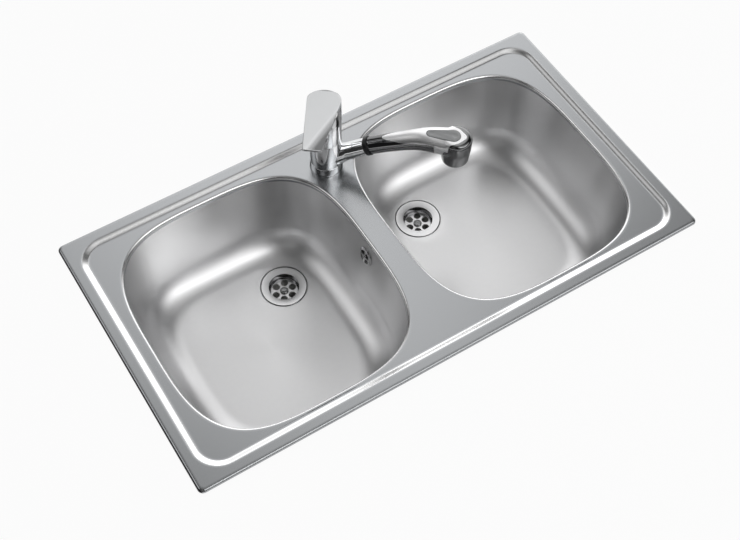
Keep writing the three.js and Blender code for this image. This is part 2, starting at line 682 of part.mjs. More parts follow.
function waste(group, side, name) {
  const fitting = new THREE.Group();
  fitting.position.set(side * WASTE_X, WASTE_Y, WASTE_SEAT);
  group.add(fitting);
  piece(fitting, `${name}_waste_flange`, wasteFlange(), polishedSteel);
  piece(fitting, `${name}_waste_screw`, wasteScrew(), polishedSteel);
  const sealInner = WASTE_HOLE_R + 0.5;
  const seal = washer(WASTE_BODY_R - 1, sealInner, wasteSealTop - WASTE_SEAL_T, wasteSealTop);
  piece(fitting, `${name}_waste_seal`, seal, darkRubber);
  piece(fitting, `${name}_waste_body`, wasteBody(side), whitePlastic);
}

// ---------------------------------------------------------------- rim seal, rails and clips
function rimSeal() {
  const low = 0;
  const high = RIM_HEIGHT - SHEET - GAP;
  const [outer, inner] = [SEAL_INSET, SEAL_INSET + SEAL_WIDTH];
  return frameLoft([
    rimRing(outer, RIM_CORNER_R - 2, low), rimRing(inner, RIM_CORNER_R, low),
    rimRing(inner, RIM_CORNER_R, high), rimRing(outer + 1.2, RIM_CORNER_R - 2, high),
  ]);
}

// One fixing point: a welded channel, a hooked clip and its screw. Local +X points
// outwards to the rim and x = 0 is the step's inner edge; z = 0 is the worktop.
function fixing(group, name, x, y, turn) {
  const point = new THREE.Group();
  point.position.set(x, y, 0);
  point.rotation.z = degToRad(turn);
  group.add(point);
  const top = DECK_UNDER - GAP;
  const inner = -1 - RAIL_WIDTH;
  const low = top - RAIL_HEIGHT;
  const channel = slab([
    [inner, top], [-1, top], [-1, top - RAIL_T], [inner + RAIL_T, top - RAIL_T],
    [inner + RAIL_T, low + RAIL_T], [-1, low + RAIL_T], [-1, low], [inner, low],
  ], RAIL_LENGTH);
  piece(point, `${name}_clip_rail`, channel, zincSteel);

  const web = GAP;
  const bottom = -WORKTOP - CLIP_TOOTH - CLIP_T;
  const toothTop = bottom + CLIP_T + CLIP_TOOTH;
  const hookLow = low + RAIL_T + GAP;
  const hookIn = inner + RAIL_T + GAP + 1;
  const claw = slab([
    [hookIn, hookLow + CLIP_T], [hookIn, hookLow], [web - 1 + GAP, hookLow],
    [web - 1 + GAP, bottom], [web + CLIP_REACH, bottom], [web + CLIP_REACH, toothTop],
    [web + CLIP_REACH - CLIP_T, toothTop], [web + CLIP_REACH - CLIP_T, bottom + CLIP_T],
    [web + CLIP_T, bottom + CLIP_T], [web + CLIP_T, hookLow + CLIP_T],
  ], CLIP_WIDTH);
  const screwX = web + CLIP_T + CLIP_SCREW_HEAD_R + 1;
  const hole = cylinder(CLIP_SCREW_R + GAP, bottom - 1, bottom + CLIP_T + 1, SMALL_SIDES);
  piece(point, `${name}_clip`, claw.subtract(moved(hole, screwX, 0, 0)), zincSteel);

  const headTop = bottom - GAP;
  const tip = -CLIP_TOOTH;
  const screw = revolve([
    [0, headTop - CLIP_SCREW_HEAD_H], [CLIP_SCREW_HEAD_R, headTop - CLIP_SCREW_HEAD_H],
    [CLIP_SCREW_HEAD_R, headTop], [CLIP_SCREW_R, headTop], [CLIP_SCREW_R, tip - 2], [0, tip],
  ], SMALL_SIDES);
  piece(point, `${name}_clip_screw`, moved(screw, screwX, 0, 0), zincSteel);
}

// ---------------------------------------------------------------- tap
// Local frame: the tap's axis, with z = 0 on the deck's top face.
const baseLedge = GASKET_T + 2 * GAP + 3;
const collarBottom = BASE_HEIGHT + GAP;
const shoulder = COLLAR_TOP + GAP;
const bodyTop = HANDLE_JOINT - GAP;
const boreRoof = CARTRIDGE_BOTTOM - 6;

function tapBase() {
  return revolve([
    [SHANK_R + GAP, GASKET_T + 2 * GAP], [GASKET_R + GAP, GASKET_T + 2 * GAP], [GASKET_R + GAP, GAP],
    [BASE_R, GAP], [BASE_R, 2.5], [COLUMN_R, BASE_HEIGHT], [CORE_R + GAP, BASE_HEIGHT],
    [CORE_R + GAP, baseLedge], [SHANK_R + GAP, baseLedge],
  ]);
}

function tapBody() {
  const cavityFloor = CARTRIDGE_BOTTOM - GAP;
  const hoseBore = SHANK_R - SHANK_WALL - GAP;
  let body = revolve([
    [0, baseLedge + GAP], [CORE_R, baseLedge + GAP], [CORE_R, shoulder], [COLUMN_R, shoulder],
    [COLUMN_R, bodyTop], [CARTRIDGE_R + 2 + GAP, bodyTop], [CARTRIDGE_R + 2 + GAP, CARTRIDGE_TOP],
    [CARTRIDGE_R + GAP, CARTRIDGE_TOP], [CARTRIDGE_R + GAP, cavityFloor], [0, cavityFloor],
  ]);
  const window = prism(
    [[0, 0], ...arc(0, 0, COLUMN_R, -90 - WINDOW_HALF, -90 + WINDOW_HALF, 6)],
    WINDOW_LOW, WINDOW_HIGH,
  );
  body = body.subtract(cylinder(hoseBore, baseLedge, boreRoof, HIDDEN_SIDES)).subtract(window);
  for (const side of [-1, 1]) {
    const port = cylinder(INLET_BORE_R, boreRoof - 1, cavityFloor + 1, SMALL_SIDES);
    body = body.subtract(moved(port, side * INLET_SIDE, INLET_BACK, 0));
  }
  return body;
}

function cartridge() {
  const top = CARTRIDGE_TOP - GAP;
  return revolve([
    [0, CARTRIDGE_BOTTOM], [CARTRIDGE_R, CARTRIDGE_BOTTOM], [CARTRIDGE_R, top - 4],
    [CARTRIDGE_R - 2, top], [SPINDLE_R + RUN, top], [SPINDLE_R + RUN, top - SPINDLE_SUNK],
    [0, top - SPINDLE_SUNK],
  ], HIDDEN_SIDES);
}

function shank() {
  const inner = SHANK_R - SHANK_WALL;
  return washer(SHANK_R, inner, -SHANK_LENGTH, baseLedge - GAP);
}

function tapFixings(group) {
  const deckUnder = -SHEET - GAP;
  const bore = SHANK_R + GAP;
  const supportLow = deckUnder - SUPPORT_T;
  const [w, d, chamfer] = [SUPPORT_WIDTH / 2, SUPPORT_DEPTH / 2, 14];
  const supportOutline = [
    [-w, d - chamfer], [-w + chamfer, -d], [w - chamfer, -d], [w, d - chamfer], [w, d], [-w, d],
  ];
  const support = prism(supportOutline, supportLow, deckUnder)
    .subtract(cylinder(bore, supportLow - 1, deckUnder + 1));
  piece(group, 'tap_support_plate', support, blackPlastic);
  const steelTop = supportLow - GAP;
  const nutTop = steelTop - STEEL_WASHER_T - GAP;
  piece(group, 'tap_steel_washer', washer(WASHER_R, bore, steelTop - STEEL_WASHER_T, steelTop), zincSteel);
  const hexagon = arc(0, 0, SHANK_NUT_R, 0, 360, 6).slice(0, -1);
  const nut = prism(hexagon, nutTop - SHANK_NUT_HEIGHT, nutTop)
    .subtract(cylinder(bore, nutTop - SHANK_NUT_HEIGHT - 1, nutTop + 1));
  piece(group, 'tap_nut', nut, brass);
}

function tap(group) {
  piece(group, 'tap_gasket', washer(GASKET_R, SHANK_R + 2, GAP, GAP + GASKET_T), darkRubber);
  piece(group, 'tap_base', tapBase(), chrome);
  piece(group, 'tap_body', tapBody(), chrome);
  const glide = (low) =>
    washer(CORE_R + GLIDE_T, CORE_R + GAP, low, low + GLIDE_HEIGHT, ROUND_SIDES);
  piece(group, 'lower_glide_ring', glide(collarBottom), whitePlastic);
  piece(group, 'upper_glide_ring', glide(COLLAR_TOP - GLIDE_HEIGHT), whitePlastic);
  piece(group, 'tap_cartridge', cartridge(), greyPlastic);
  const nutLow = CARTRIDGE_TOP;
  const nut = washer(CARTRIDGE_R + 2, SPINDLE_R + 4, nutLow, nutLow + NUT_HEIGHT);
  piece(group, 'cartridge_nut', nut, brass);
  const domeLow = HANDLE_JOINT;
  const domeHole = SPINDLE_R + 3;
  const dome = revolve([
    [domeHole, domeLow + DOME_HEIGHT - 1.2], [DOME_R - 1.6, domeLow], [DOME_R, domeLow],
    [DOME_R - 1, domeLow + 2.6], [DOME_R - 4, domeLow + 4.8], [domeHole, domeLow + DOME_HEIGHT],
  ], HIDDEN_SIDES);
  piece(group, 'cartridge_dome', dome, chrome);
  piece(group, 'tap_shank', shank(), brass);
  tapFixings(group);
  for (const [name, side] of [['hot', -1], ['cold', 1]]) {
    const low = -SHANK_LENGTH - INLET_TAIL;
    const tail = washer(INLET_R, INLET_BORE_R, low, boreRoof - GAP, SMALL_SIDES);
    piece(group, `${name}_inlet`, moved(tail, side * INLET_SIDE, INLET_BACK, 0), brass);
  }
}

// ---------------------------------------------------------------- spout
// Local frame: the spout's vertical plane is XZ. The tube's axis starts on the core.
const rise = degToRad(SPOUT_RISE);
const alongSpout = (s) => [CORE_R + s * Math.cos(rise), SPOUT_ROOT_HEIGHT + s * Math.sin(rise)];
const ringStart = SPOUT_LENGTH + GAP;
const grip = ringStart + RING_WIDTH + GAP;

// A round solid along the spout's axis, from a section [radius, distance].
function onSpout(body) {
  const [x, z] = alongSpout(0);
  return moved(body.rotate([0, 90 - SPOUT_RISE, 0]), x, 0, z);
}

function spoutArm() {
  const bore = CORE_R + GLIDE_T + RUN;
  const guide = CORE_R + RUN;
  const collar = revolve([
    [bore, collarBottom], [COLUMN_R, collarBottom], [COLUMN_R, COLLAR_TOP], [bore, COLLAR_TOP],
    [bore, COLLAR_TOP - GLIDE_HEIGHT - RUN], [guide, COLLAR_TOP - GLIDE_HEIGHT - RUN],
    [guide, collarBottom + GLIDE_HEIGHT + RUN], [bore, collarBottom + GLIDE_HEIGHT + RUN],
  ]);
  const flare = 2.4;
  const tube = onSpout(revolve([
    [0, 0], [SPOUT_TUBE_R + flare, 0], [SPOUT_TUBE_R + flare, 4], [SPOUT_TUBE_R + 0.8, 13],
    [SPOUT_TUBE_R, 24], [SPOUT_TUBE_R, SPOUT_LENGTH], [0, SPOUT_LENGTH],
  ]));
  const core = cylinder(guide, collarBottom - 1, COLLAR_TOP + 1);
  const way = onSpout(cylinder(SPOUT_BORE_R, -6, SPOUT_LENGTH + 1));
  const lowSeat = cylinder(bore, collarBottom - 1, collarBottom + GLIDE_HEIGHT + RUN);
  const highSeat = cylinder(bore, COLLAR_TOP - GLIDE_HEIGHT - RUN, COLLAR_TOP + 1);
  return collar.add(tube).subtract(core).subtract(way).subtract(lowSeat).subtract(highSeat);
}

function dockingRing() {
  return onSpout(washer(RING_R, SPRAY_NECK_R + RUN, ringStart, ringStart + RING_WIDTH, ROUND_SIDES));
}

// ---------------------------------------------------------------- spray
// A point seen from the side, as shares of the way from the grip's start to the head's axis
// and of the climb from there to the head's top.
const [gripX, gripZ] = alongSpout(grip);
const seenAt = ([way, climb]) => [
  gripX + way * (HEAD_REACH - gripX), gripZ + climb * (HEAD_TOP - gripZ),
];

// The grip's stations along its curve: way, climb, half width and half thickness in tube radii, and
// the power of its section, which is 2 for an ellipse and more for a squarer one.
const GRIP_STATIONS = [
  [0, 0, 1, 1, 2],
  [0.204, 0.248, 1.03, 1.015, 2],
  [0.393, 0.449, 1.08, 1.06, 2],
  [0.532, 0.583, 1.155, 1.14, 2.1],
  [0.655, 0.655, 1.31, 1.14, 2.4],
  [0.811, 0.67, 1.5, 1.06, 2.9],
  [1, 0.65, 1.7, 1.08, 3.2],
];

function gripBody() {
  const path = new THREE.CatmullRomCurve3(
    GRIP_STATIONS.map(seenAt).map(([x, z]) => new THREE.Vector3(x, 0, z)),
  );
  const rings = [];
  for (let i = 0; i <= GRIP_STEPS; i += 1) {
    const t = i / GRIP_STEPS;
    const centre = path.getPoint(t);
    const tangent = i === 0 ? new THREE.Vector3(Math.cos(rise), 0, Math.sin(rise)) : path.getTangent(t);
    const up = new THREE.Vector3(-tangent.z, 0, tangent.x);
    const at = t * (GRIP_STATIONS.length - 1);
    const k = Math.min(Math.floor(at), GRIP_STATIONS.length - 2);
    const [from, to] = [GRIP_STATIONS[k], GRIP_STATIONS[k + 1]];
    const blend = (column) => THREE.MathUtils.lerp(from[column], to[column], at - k);
    const squared = (share) => Math.sign(share) * Math.abs(share) ** (2 / blend(4)) * SPOUT_TUBE_R;
    rings.push(arc(0, 0, 1, 0, 360, GRIP_SIDES).slice(0, -1).map(([c, s]) => centre.clone()
      .addScaledVector(up, squared(s) * blend(3))
      .add(new THREE.Vector3(0, squared(c) * blend(2), 0))));
  }
  return loft(rings);
}

function headBody() {
  const edge = arc(HEAD_R - HEAD_EDGE, HEAD_TOP - HEAD_EDGE, HEAD_EDGE, 0, 90);
  const turned = revolve([
    [0, HEAD_BOTTOM], [HEAD_OUTLET_R - 1, HEAD_BOTTOM], [HEAD_OUTLET_R, HEAD_BOTTOM + 1],
    [HEAD_R - 0.8, (HEAD_BOTTOM + HEAD_TOP) / 2], ...edge, [0, HEAD_TOP],
  ]);
  return moved(turned, HEAD_REACH, 0, 0);
}

// The line, seen from the side, between the satin shell and the chrome below and ahead of it.
const TALL = 2.5; // in climbs, higher than anything on the spout
const DEEP = -1.3; // lower than the head
const CHROME_UNDER = [
  [0.056, TALL], [0.056, 0.445], [0.22, 0.569], [0.393, 0.641], [0.672, 0.796], [0.688, -0.365],
  [0.688, DEEP],
].map(seenAt);
const CHROME_FRONT = [
  [0.865, DEEP], [0.881, 0.162], [0.918, 0.593], [0.975, 0.785], [TALL, 0.808],
].map(seenAt);

// The pad's outline in plan, grown by a margin.
function padOutline(margin) {
  const lean = THREE.MathUtils.radToDeg(
    Math.acos((PAD_NOSE_R - PAD_TAIL_R) / (PAD_TAIL_BACK - PAD_NOSE_BACK)),
  );
  return [
    ...arc(HEAD_REACH - PAD_NOSE_BACK, 0, PAD_NOSE_R + margin, lean - 180, 180 - lean, 12),
    ...arc(HEAD_REACH - PAD_TAIL_BACK, 0, PAD_TAIL_R + margin, 180 - lean, 180 + lean, 6),
  ];
}

// The rocker pad has a lug below, which turns on a pin that lies across the grip.
const padTop = HEAD_TOP + PAD_PROUD;
const padPinReach = HEAD_REACH - (PAD_TAIL_BACK + PAD_NOSE_BACK) / 2;
const padPinHeight = padTop - PAD_PIN_DEPTH;
const padPinHalf = LUG_WIDTH / 2 + LUG_BITE;

function acrossGrip(radius, half) {
  const bar = cylinder(radius, -half, half, SMALL_SIDES).rotate([90, 0, 0]);
  return moved(bar, padPinReach, 0, padPinHeight);
}

// The lug below the pad, with room left before and behind it, beside it and below it.
function padLug(ends, sides, below) {
  const [length, width] = [LUG_LENGTH / 2 + ends, LUG_WIDTH / 2 + sides];
  const low = padPinHeight - PAD_PIN_R - GAP - LUG_WALL - below;
  const lug = prism(rectangle(-length, length, -width, width), low, padTop - PAD_DEPTH / 2);
  return moved(lug, padPinReach, 0, 0);
}

function spray(group, padGroup) {
  const outside = gripBody().add(headBody());
  const wide = 4 * HEAD_R;
  const face = HEAD_BOTTOM + OUTLET_RECESS;
  const recessR = HEAD_OUTLET_R - OUTLET_LIP;
  const recess = moved(cylinder(recessR, HEAD_BOTTOM - 1, face), HEAD_REACH, 0, 0);
  const region = (line, corners) => slab([...line, ...corners], wide);
  const underCorners = [[-1, DEEP], [-1, TALL]].map(seenAt);
  const frontCorners = [[TALL, DEEP]].map(seenAt);

  const padHole = prism(padOutline(GAP), padTop - PAD_DEPTH - PAD_ROCK, padTop + HEAD_EDGE)
    .add(padLug(1, GAP, 1));
  const shell = outside
    .subtract(region(offsetLine(CHROME_UNDER, GAP), underCorners))
    .subtract(region(offsetLine(CHROME_FRONT, GAP), frontCorners))
    .subtract(padHole)
    .subtract(acrossGrip(PAD_PIN_R + GAP, padPinHalf + GAP))
    .subtract(recess);
  piece(group, 'spray_shell', shell, satinChrome);

  const neckStart = grip - GAP - RING_WIDTH - SPRAY_NECK_LENGTH / 2;
  const neck = onSpout(cylinder(SPRAY_NECK_R, neckStart, grip + 4));
  const tube = outside.intersect(region(CHROME_UNDER, underCorners)).add(neck);
  piece(group, 'spray_tube', tube, chrome);
  const head = outside.intersect(region(CHROME_FRONT, frontCorners)).subtract(recess);
  piece(group, 'spray_head', head, chrome);

  // Nozzle plate with its ring of rubber nozzles, and the aerator in its middle.
  const outlet = new THREE.Group();
  outlet.position.set(HEAD_REACH, 0, HEAD_BOTTOM);
  group.add(outlet);
  const plateLow = 1;
  let plate = washer(recessR - GAP, AERATOR_R + GAP, plateLow, OUTLET_RECESS - GAP);
  for (let i = 0; i < NOZZLES; i += 1) {
    const [[x, y]] = arc(0, 0, (recessR + AERATOR_R) / 2, (360 * i) / NOZZLES, 360, 1);
    plate = plate.add(moved(cylinder(NOZZLE_R, plateLow - NOZZLE_PROUD, plateLow + 1, 6), x, y, 0));
  }
  piece(outlet, 'nozzle_plate', plate, blackPlastic);
  const aerator = revolve([
    [0, 1.2], [AERATOR_R - 2, 1.2], [AERATOR_R - 1.6, 0.4], [AERATOR_R, 0.4],
    [AERATOR_R, OUTLET_RECESS - GAP], [0, OUTLET_RECESS - GAP],
  ], HIDDEN_SIDES);
  piece(outlet, 'aerator', aerator, greyPlastic);

  // The hose that follows the spray out of the spout.
  const nutEnd = neckStart - GAP;
  const hexagon = cylinder(HOSE_NUT_R, nutEnd - HOSE_NUT_LENGTH, nutEnd, 6);
  piece(group, 'hose_nut', onSpout(hexagon), brass);
  const hoseEnd = nutEnd - HOSE_NUT_LENGTH - GAP;
  const hose = washer(HOSE_R, HOSE_BORE_R, hoseEnd - HOSE_TAIL, hoseEnd, SMALL_SIDES);
  piece(group, 'spray_hose', onSpout(hose), braidedHose);

  const pad = prism(padOutline(0), padTop - PAD_DEPTH, padTop).add(padLug(0, 0, 0))
    .subtract(acrossGrip(PAD_PIN_R + GAP, padPinHalf));
  piece(padGroup, 'spray_pad', pad, greyPlastic);
  piece(group, 'pad_pin', acrossGrip(PAD_PIN_R, padPinHalf), zincSteel);
}

// ---------------------------------------------------------------- lever
// Local frame: +X points along the lever, x = 0 on the tap's axis, z = 0 on the deck.
const slope = Math.tan(degToRad(LEVER_SLOPE));
const leverTop = (x) => LEVER_AXIS_TOP + x * slope;
const leverUnder = (x) => leverTop(x)
  - THREE.MathUtils.mapLinear(x, LEVER_CAP_R, LEVER_LENGTH, LEVER_ROOT_T, LEVER_TIP_T);

function leverOutline() {
  const lean = THREE.MathUtils.radToDeg(Math.acos((LEVER_CAP_R - LEVER_TIP_HALF) / LEVER_LENGTH));
  const r = LEVER_TIP_CORNER_R;
  const [cx, cy] = [LEVER_LENGTH - r, LEVER_TIP_HALF - r];
  return [
    ...arc(0, 0, LEVER_CAP_R, lean, 360 - lean, 16),
    ...arc(cx, -cy, r, -lean, 0, 2),
    ...arc(cx, cy, r, 0, lean, 2),
  ];
}

function leverHandle() {
  const out = LEVER_CAP_R + 1;
  const rim = HANDLE_JOINT + GAP;
  const backCut = Math.tan(degToRad(LEVER_LIFT + 1));
  const capSide = slab([
    [-out, rim + out * backCut], [0, rim], [out, rim], [out, leverTop(out)], [-out, leverTop(-out)],
  ], 2 * out);
  const cap = cylinder(LEVER_CAP_R, rim - 1, leverTop(out), 32).intersect(capSide);

  const root = LEVER_CAP_R - 3;
  const foot = new THREE.QuadraticBezierCurve(
    new THREE.Vector2(LEVER_CAP_R - 0.5, leverUnder(LEVER_CAP_R) - LEVER_ROOT_FILLET),
    new THREE.Vector2(LEVER_CAP_R, leverUnder(LEVER_CAP_R)),
    new THREE.Vector2(LEVER_CAP_R + LEVER_ROOT_FILLET, leverUnder(LEVER_CAP_R + LEVER_ROOT_FILLET)),
  ).getPoints(4).map((p) => [p.x, p.y]);
  const plateSide = slab([
    [0, leverTop(0) - LEVER_ROOT_T], [root, leverUnder(root)], ...foot.slice(-1),
    [LEVER_LENGTH + 1, leverUnder(LEVER_LENGTH + 1)], [LEVER_LENGTH + 1, leverTop(LEVER_LENGTH + 1)],
    [0, leverTop(0)],
  ], 3 * LEVER_CAP_R);
  const plate = prism(leverOutline(), rim, leverTop(LEVER_LENGTH) + 1).intersect(plateSide);
  const gusset = slab([[root - 6, foot[0][1]], ...foot, [root - 6, foot.at(-1)[1]]], LEVER_CAP_R);

  const cavity = cylinder(LEVER_CAVITY_R, rim - 2, HANDLE_JOINT + LEVER_CAVITY_H);
  const socketHalf = STEM_WIDTH / 2 + GAP;
  const socket = prism(
    rectangle(-socketHalf, socketHalf, -socketHalf, socketHalf), HANDLE_JOINT, STEM_TOP + GAP,
  );
  const grubWay = moved(cylinder(GRUB_R + GAP, 0, out, SMALL_SIDES).rotate([0, 90, 0]), 0, 0, GRUB_HEIGHT);
  const plugSeat = moved(
    cylinder(PLUG_R + GAP, LEVER_CAP_R - PLUG_T - GAP, out, SMALL_SIDES).rotate([0, 90, 0]),
    0, 0, GRUB_HEIGHT,
  );
  return cap.add(plate).add(gusset).subtract(cavity).subtract(socket).subtract(grubWay).subtract(plugSeat);
}

function lever(turnGroup, liftGroup) {
  const spindleTop = CARTRIDGE_TOP - GAP;
  const earInner = STEM_WIDTH / 2 + RUN;
  const earOuter = SPINDLE_R - 0.4;
  const earHalf = EAR_WIDTH / 2;
  let spindle = cylinder(SPINDLE_R, spindleTop - SPINDLE_SUNK + GAP, spindleTop, HIDDEN_SIDES);
  for (const side of [-1, 1]) {
    const outline = rectangle(-earHalf, earHalf, side * earInner, side * earOuter);
    spindle = spindle.add(prism(outline, spindleTop - 2, HANDLE_JOINT + EAR_ABOVE));
  }
  const across = (radius, half) => moved(
    cylinder(radius, -half, half, SMALL_SIDES).rotate([90, 0, 0]), 0, 0, HANDLE_JOINT,
  );
  const pinHole = across(LEVER_PIN_R + GAP, SPINDLE_R + 1);
  piece(turnGroup, 'lever_spindle', spindle.subtract(pinHole), brass);
  piece(turnGroup, 'lever_pin', across(LEVER_PIN_R, earOuter), zincSteel);

  const half = STEM_WIDTH / 2;
  const stem = prism(rectangle(-half, half, -half, half), HANDLE_JOINT - STEM_BELOW, STEM_TOP);
  piece(liftGroup, 'lever_stem', stem.subtract(pinHole), brass);
  piece(liftGroup, 'lever_handle', leverHandle(), satinChrome);
  const along = (body) => moved(body.rotate([0, 90, 0]), 0, 0, GRUB_HEIGHT);
  const grubStart = STEM_WIDTH / 2 + GAP;
  const grub = cylinder(GRUB_R, grubStart, grubStart + GRUB_LENGTH, SMALL_SIDES);
  piece(liftGroup, 'lever_grub_screw', along(grub), zincSteel);
  const plug = cylinder(PLUG_R, LEVER_CAP_R - PLUG_T, LEVER_CAP_R - GAP, SMALL_SIDES);
  piece(liftGroup, 'index_plug', along(plug), indexRed);
}

// ---------------------------------------------------------------- assembly
const sink = new THREE.Group();
sink.name = 'double_bowl_sink';
piece(sink, 'deck', deck(), brushedSteel);
piece(sink, 'left_bowl', bowl(-1), brushedSteel);
piece(sink, 'right_bowl', bowl(1), brushedSteel);
piece(sink, 'rim_seal', rimSeal(), darkRubber);
fixing(sink, 'front', 0, -SINK_DEPTH / 2 + STEP_END, -90);
fixing(sink, 'back', 0, SINK_DEPTH / 2 - STEP_END, 90);
fixing(sink, 'left', -SINK_WIDTH / 2 + STEP_END, 0, 180);
fixing(sink, 'right', SINK_WIDTH / 2 - STEP_END, 0, 0);
waste(sink, -1, 'left');
waste(sink, 1, 'right');
overflow(sink);

const tapGroup = new THREE.Group();
tapGroup.position.set(0, TAP_Y, DECK_TOP);
sink.add(tapGroup);
tap(tapGroup);

const spoutGroup = new THREE.Group();
spoutGroup.rotation.z = degToRad(SPOUT_REST);
tapGroup.add(spoutGroup);
piece(spoutGroup, 'spout_arm', spoutArm(), chrome);
piece(spoutGroup, 'docking_ring', dockingRing(), blackPlastic);
spray(spoutGroup, spoutGroup);

const leverGroup = new THREE.Group();
leverGroup.rotation.z = degToRad(LEVER_REST);
tapGroup.add(leverGroup);
lever(leverGroup, leverGroup);

export default sink;
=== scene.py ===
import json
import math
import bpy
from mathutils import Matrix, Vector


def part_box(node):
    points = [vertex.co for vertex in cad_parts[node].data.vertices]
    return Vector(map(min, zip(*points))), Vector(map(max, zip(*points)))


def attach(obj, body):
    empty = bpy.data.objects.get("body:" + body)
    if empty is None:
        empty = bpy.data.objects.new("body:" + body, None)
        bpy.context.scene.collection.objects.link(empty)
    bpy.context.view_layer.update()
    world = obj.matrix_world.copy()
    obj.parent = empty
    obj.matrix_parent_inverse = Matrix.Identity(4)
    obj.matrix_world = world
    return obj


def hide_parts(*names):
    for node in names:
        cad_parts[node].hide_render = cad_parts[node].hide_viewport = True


bl_info = {
    "name": "Double Bowl Sink",
    "version": (1, 0, 0),
    "blender": (4, 5, 0),
    "location": "3D Viewport > Sidebar > Sink",
    "description": "Builds a steel double bowl sink and its pull-out spray tap around the packed frame",
    "category": "Object",
}

import bmesh
import bpy
from mathutils import Matrix, Vector

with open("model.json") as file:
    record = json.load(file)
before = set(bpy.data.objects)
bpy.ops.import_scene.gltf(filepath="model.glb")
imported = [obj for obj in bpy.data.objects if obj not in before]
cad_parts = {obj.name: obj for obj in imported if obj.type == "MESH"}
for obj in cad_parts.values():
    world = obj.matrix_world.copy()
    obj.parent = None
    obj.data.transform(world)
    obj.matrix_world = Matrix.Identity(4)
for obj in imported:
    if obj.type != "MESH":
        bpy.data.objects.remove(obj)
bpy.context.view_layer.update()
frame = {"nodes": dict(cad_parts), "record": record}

# ---- sizes, in millimetres
MM = 0.001
GAP = 0.3  # play between neighbours
ROUND = 96  # facets round a turned piece
OUTLINE = 176  # points round a bowl

deck_low, deck_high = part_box("deck")
RIM_HALF = ((deck_high.x - deck_low.x) / 2 / MM, (deck_high.y - deck_low.y) / 2 / MM)
RIM_TOP = deck_high.z / MM
RIM_ROLL = 4
RIM_CORNER = 8
STEP = (16, 27)  # start and end of the step, in from the rim's edge
STEP_DROP = 3.8
STEP_CORNER = (40.5, 29.5)  # corner radius where the step starts and ends
DECK = RIM_TOP - STEP_DROP
STEP_RINGS = 16
PAINTED_HIGHLIGHT_TILT = 0.06  # what a face's upright share lacks to 1 where the deck's painted highlight is full
COLLAR = 2  # flat band beside each rounded edge of the deck

BOWL_CENTRE = (188.5, -1)
OPENING = (172, 186)  # half width and half depth of a bowl's opening
OPENING_POWER = 3.4
LIP = 4
SEAM = DECK - 2 * LIP
BOWL_FLOOR = RIM_TOP - 144
BOWL_TAPER = math.radians(8)
BOWL_FILLET = 48
FILLET_END = 252  # degrees, where the wall's rings leave room for the waste's seat
# how far across the floor its rings lie, closer together where the fillet ends
FLOOR_SHARES = [0.02 * i for i in range(1, 9)] + [0.16 + 0.084 * i for i in range(1, 11)]

WASTE = (120.5, 77.9)
SEAT_R = 35.7
SEAT_DROP = 2
WASTE_HOLE_R = 25.8
CUP_R = 22.6
CUP_DEPTH = 11
FLANGE_R = 35
GRID_HOLE_R = 5.5
GRID_CIRCLE_R = 14.1
GRID_HOLES = 6
GRID_SCREW_R = 3  # shank of the screw in the grid's middle
CROSS = (2.2, 0.45, 0.9)  # half length, half width and depth of a screw's cross

OVERFLOW_HEIGHT = RIM_TOP - 37
OVERFLOW_HOLE_R = 11
ROSETTE_R = 14.5
ROSETTE_T = 2.4
ROSETTE_SLOTS = 4
ROSETTE_SPOKE = 24  # degrees between two slots
ROSETTE_HUB_R = 5
ROSETTE_SLOT_R = 11
ROSETTE_SCREW = (2.5, 1.6)  # radius of its screw's shank and height of the head

TAP_BACK = 150  # how far behind the middle the tap stands
TAP = Matrix.Translation((0, TAP_BACK, DECK))
TAP_HOLE_R = 17.5
BASE_TOP = 13.8
BASE_R = 24.5
BASE_LEDGE = 5.4  # height in the base on which the body stands
BASE_BORE = 16.3
BASE_HOLLOW = (22.3, 2.4)  # radius and height of the hollow under the base
COLUMN_R = 23.5
CORE_R = 17
COLLAR_TOP = 64
JOINT = 105  # between the body and the lever
BODY_BORE = (12.7, 71.7)  # radius of the body's bore, and the height where it ends
CARTRIDGE_BORE = (17.8, 97)  # the same of the cartridge's seat
NUT_BORE = 19.8
GLIDE_R = 20.2
SPOUT = TAP @ Matrix.Rotation(math.radians(-39.6), 4, "Z")
SPOUT_ROOT = 28
SPOUT_RISE = math.radians(29.5)
TUBE_R = 13
TUBE_BORE = 10
TUBE_END = 48.5
RING_WIDTH = 6.5
RING_R = 14
NECK_R = 9.5
NECK_DEPTH = 5.5  # how far the neck reaches into the tube
NECK_START = TUBE_END + GAP - NECK_DEPTH
GRIP_START = TUBE_END + RING_WIDTH + 2 * GAP

HEAD = 187  # reach of the spray head's axis
HEAD_R = 22.5
HEAD_TOP = 97
HEAD_LOW = 49
HEAD_EDGE = 7  # rounding of the head's top edge
BODY_RINGS = 60  # along the grip
BODY_POINTS = 72  # round it
OUTLET_R = 19.5
RECESS = 4
AERATOR_R = 8
NOZZLES = 18
NOZZLE_R = 0.9
NOZZLE_CIRCLE_R = 13
PAD_TAIL = (150, 6)  # reach and radius of the pad's two ends
PAD_NOSE = (182, 10.5)
PAD_TOP = HEAD_TOP + 0.9
PAD_T = 3
PAD_PLAY = 1.9  # room below the pad for its rocking
PAD_MARGIN = 0.4  # room around it
DIMPLE_R = 13
DIMPLE_DEPTH = 0.6

LEVER = TAP @ Matrix.Rotation(math.radians(-127.8), 4, "Z")
LEVER_CAP_R = 24
LEVER_TOP = 144  # height of the top face on the tap's axis
LEVER_SLOPE = math.tan(math.radians(17.6))
LEVER_LENGTH = 120.4
LEVER_TIP_HALF = 13
LEVER_ROOT_T = 8.5
LEVER_TIP_T = 3.4
LEVER_BACK = math.tan(math.radians(26))  # slope of the cap's relieved back edge
LEVER_CORNER = 2.5
LEVER_CAVITY_R = 21.2
INDEX_HEIGHT = 124
INDEX_R = 4

WORKTOP = (9, 6, -0.3)  # its hole's inset and corner radius under the rim, and its level

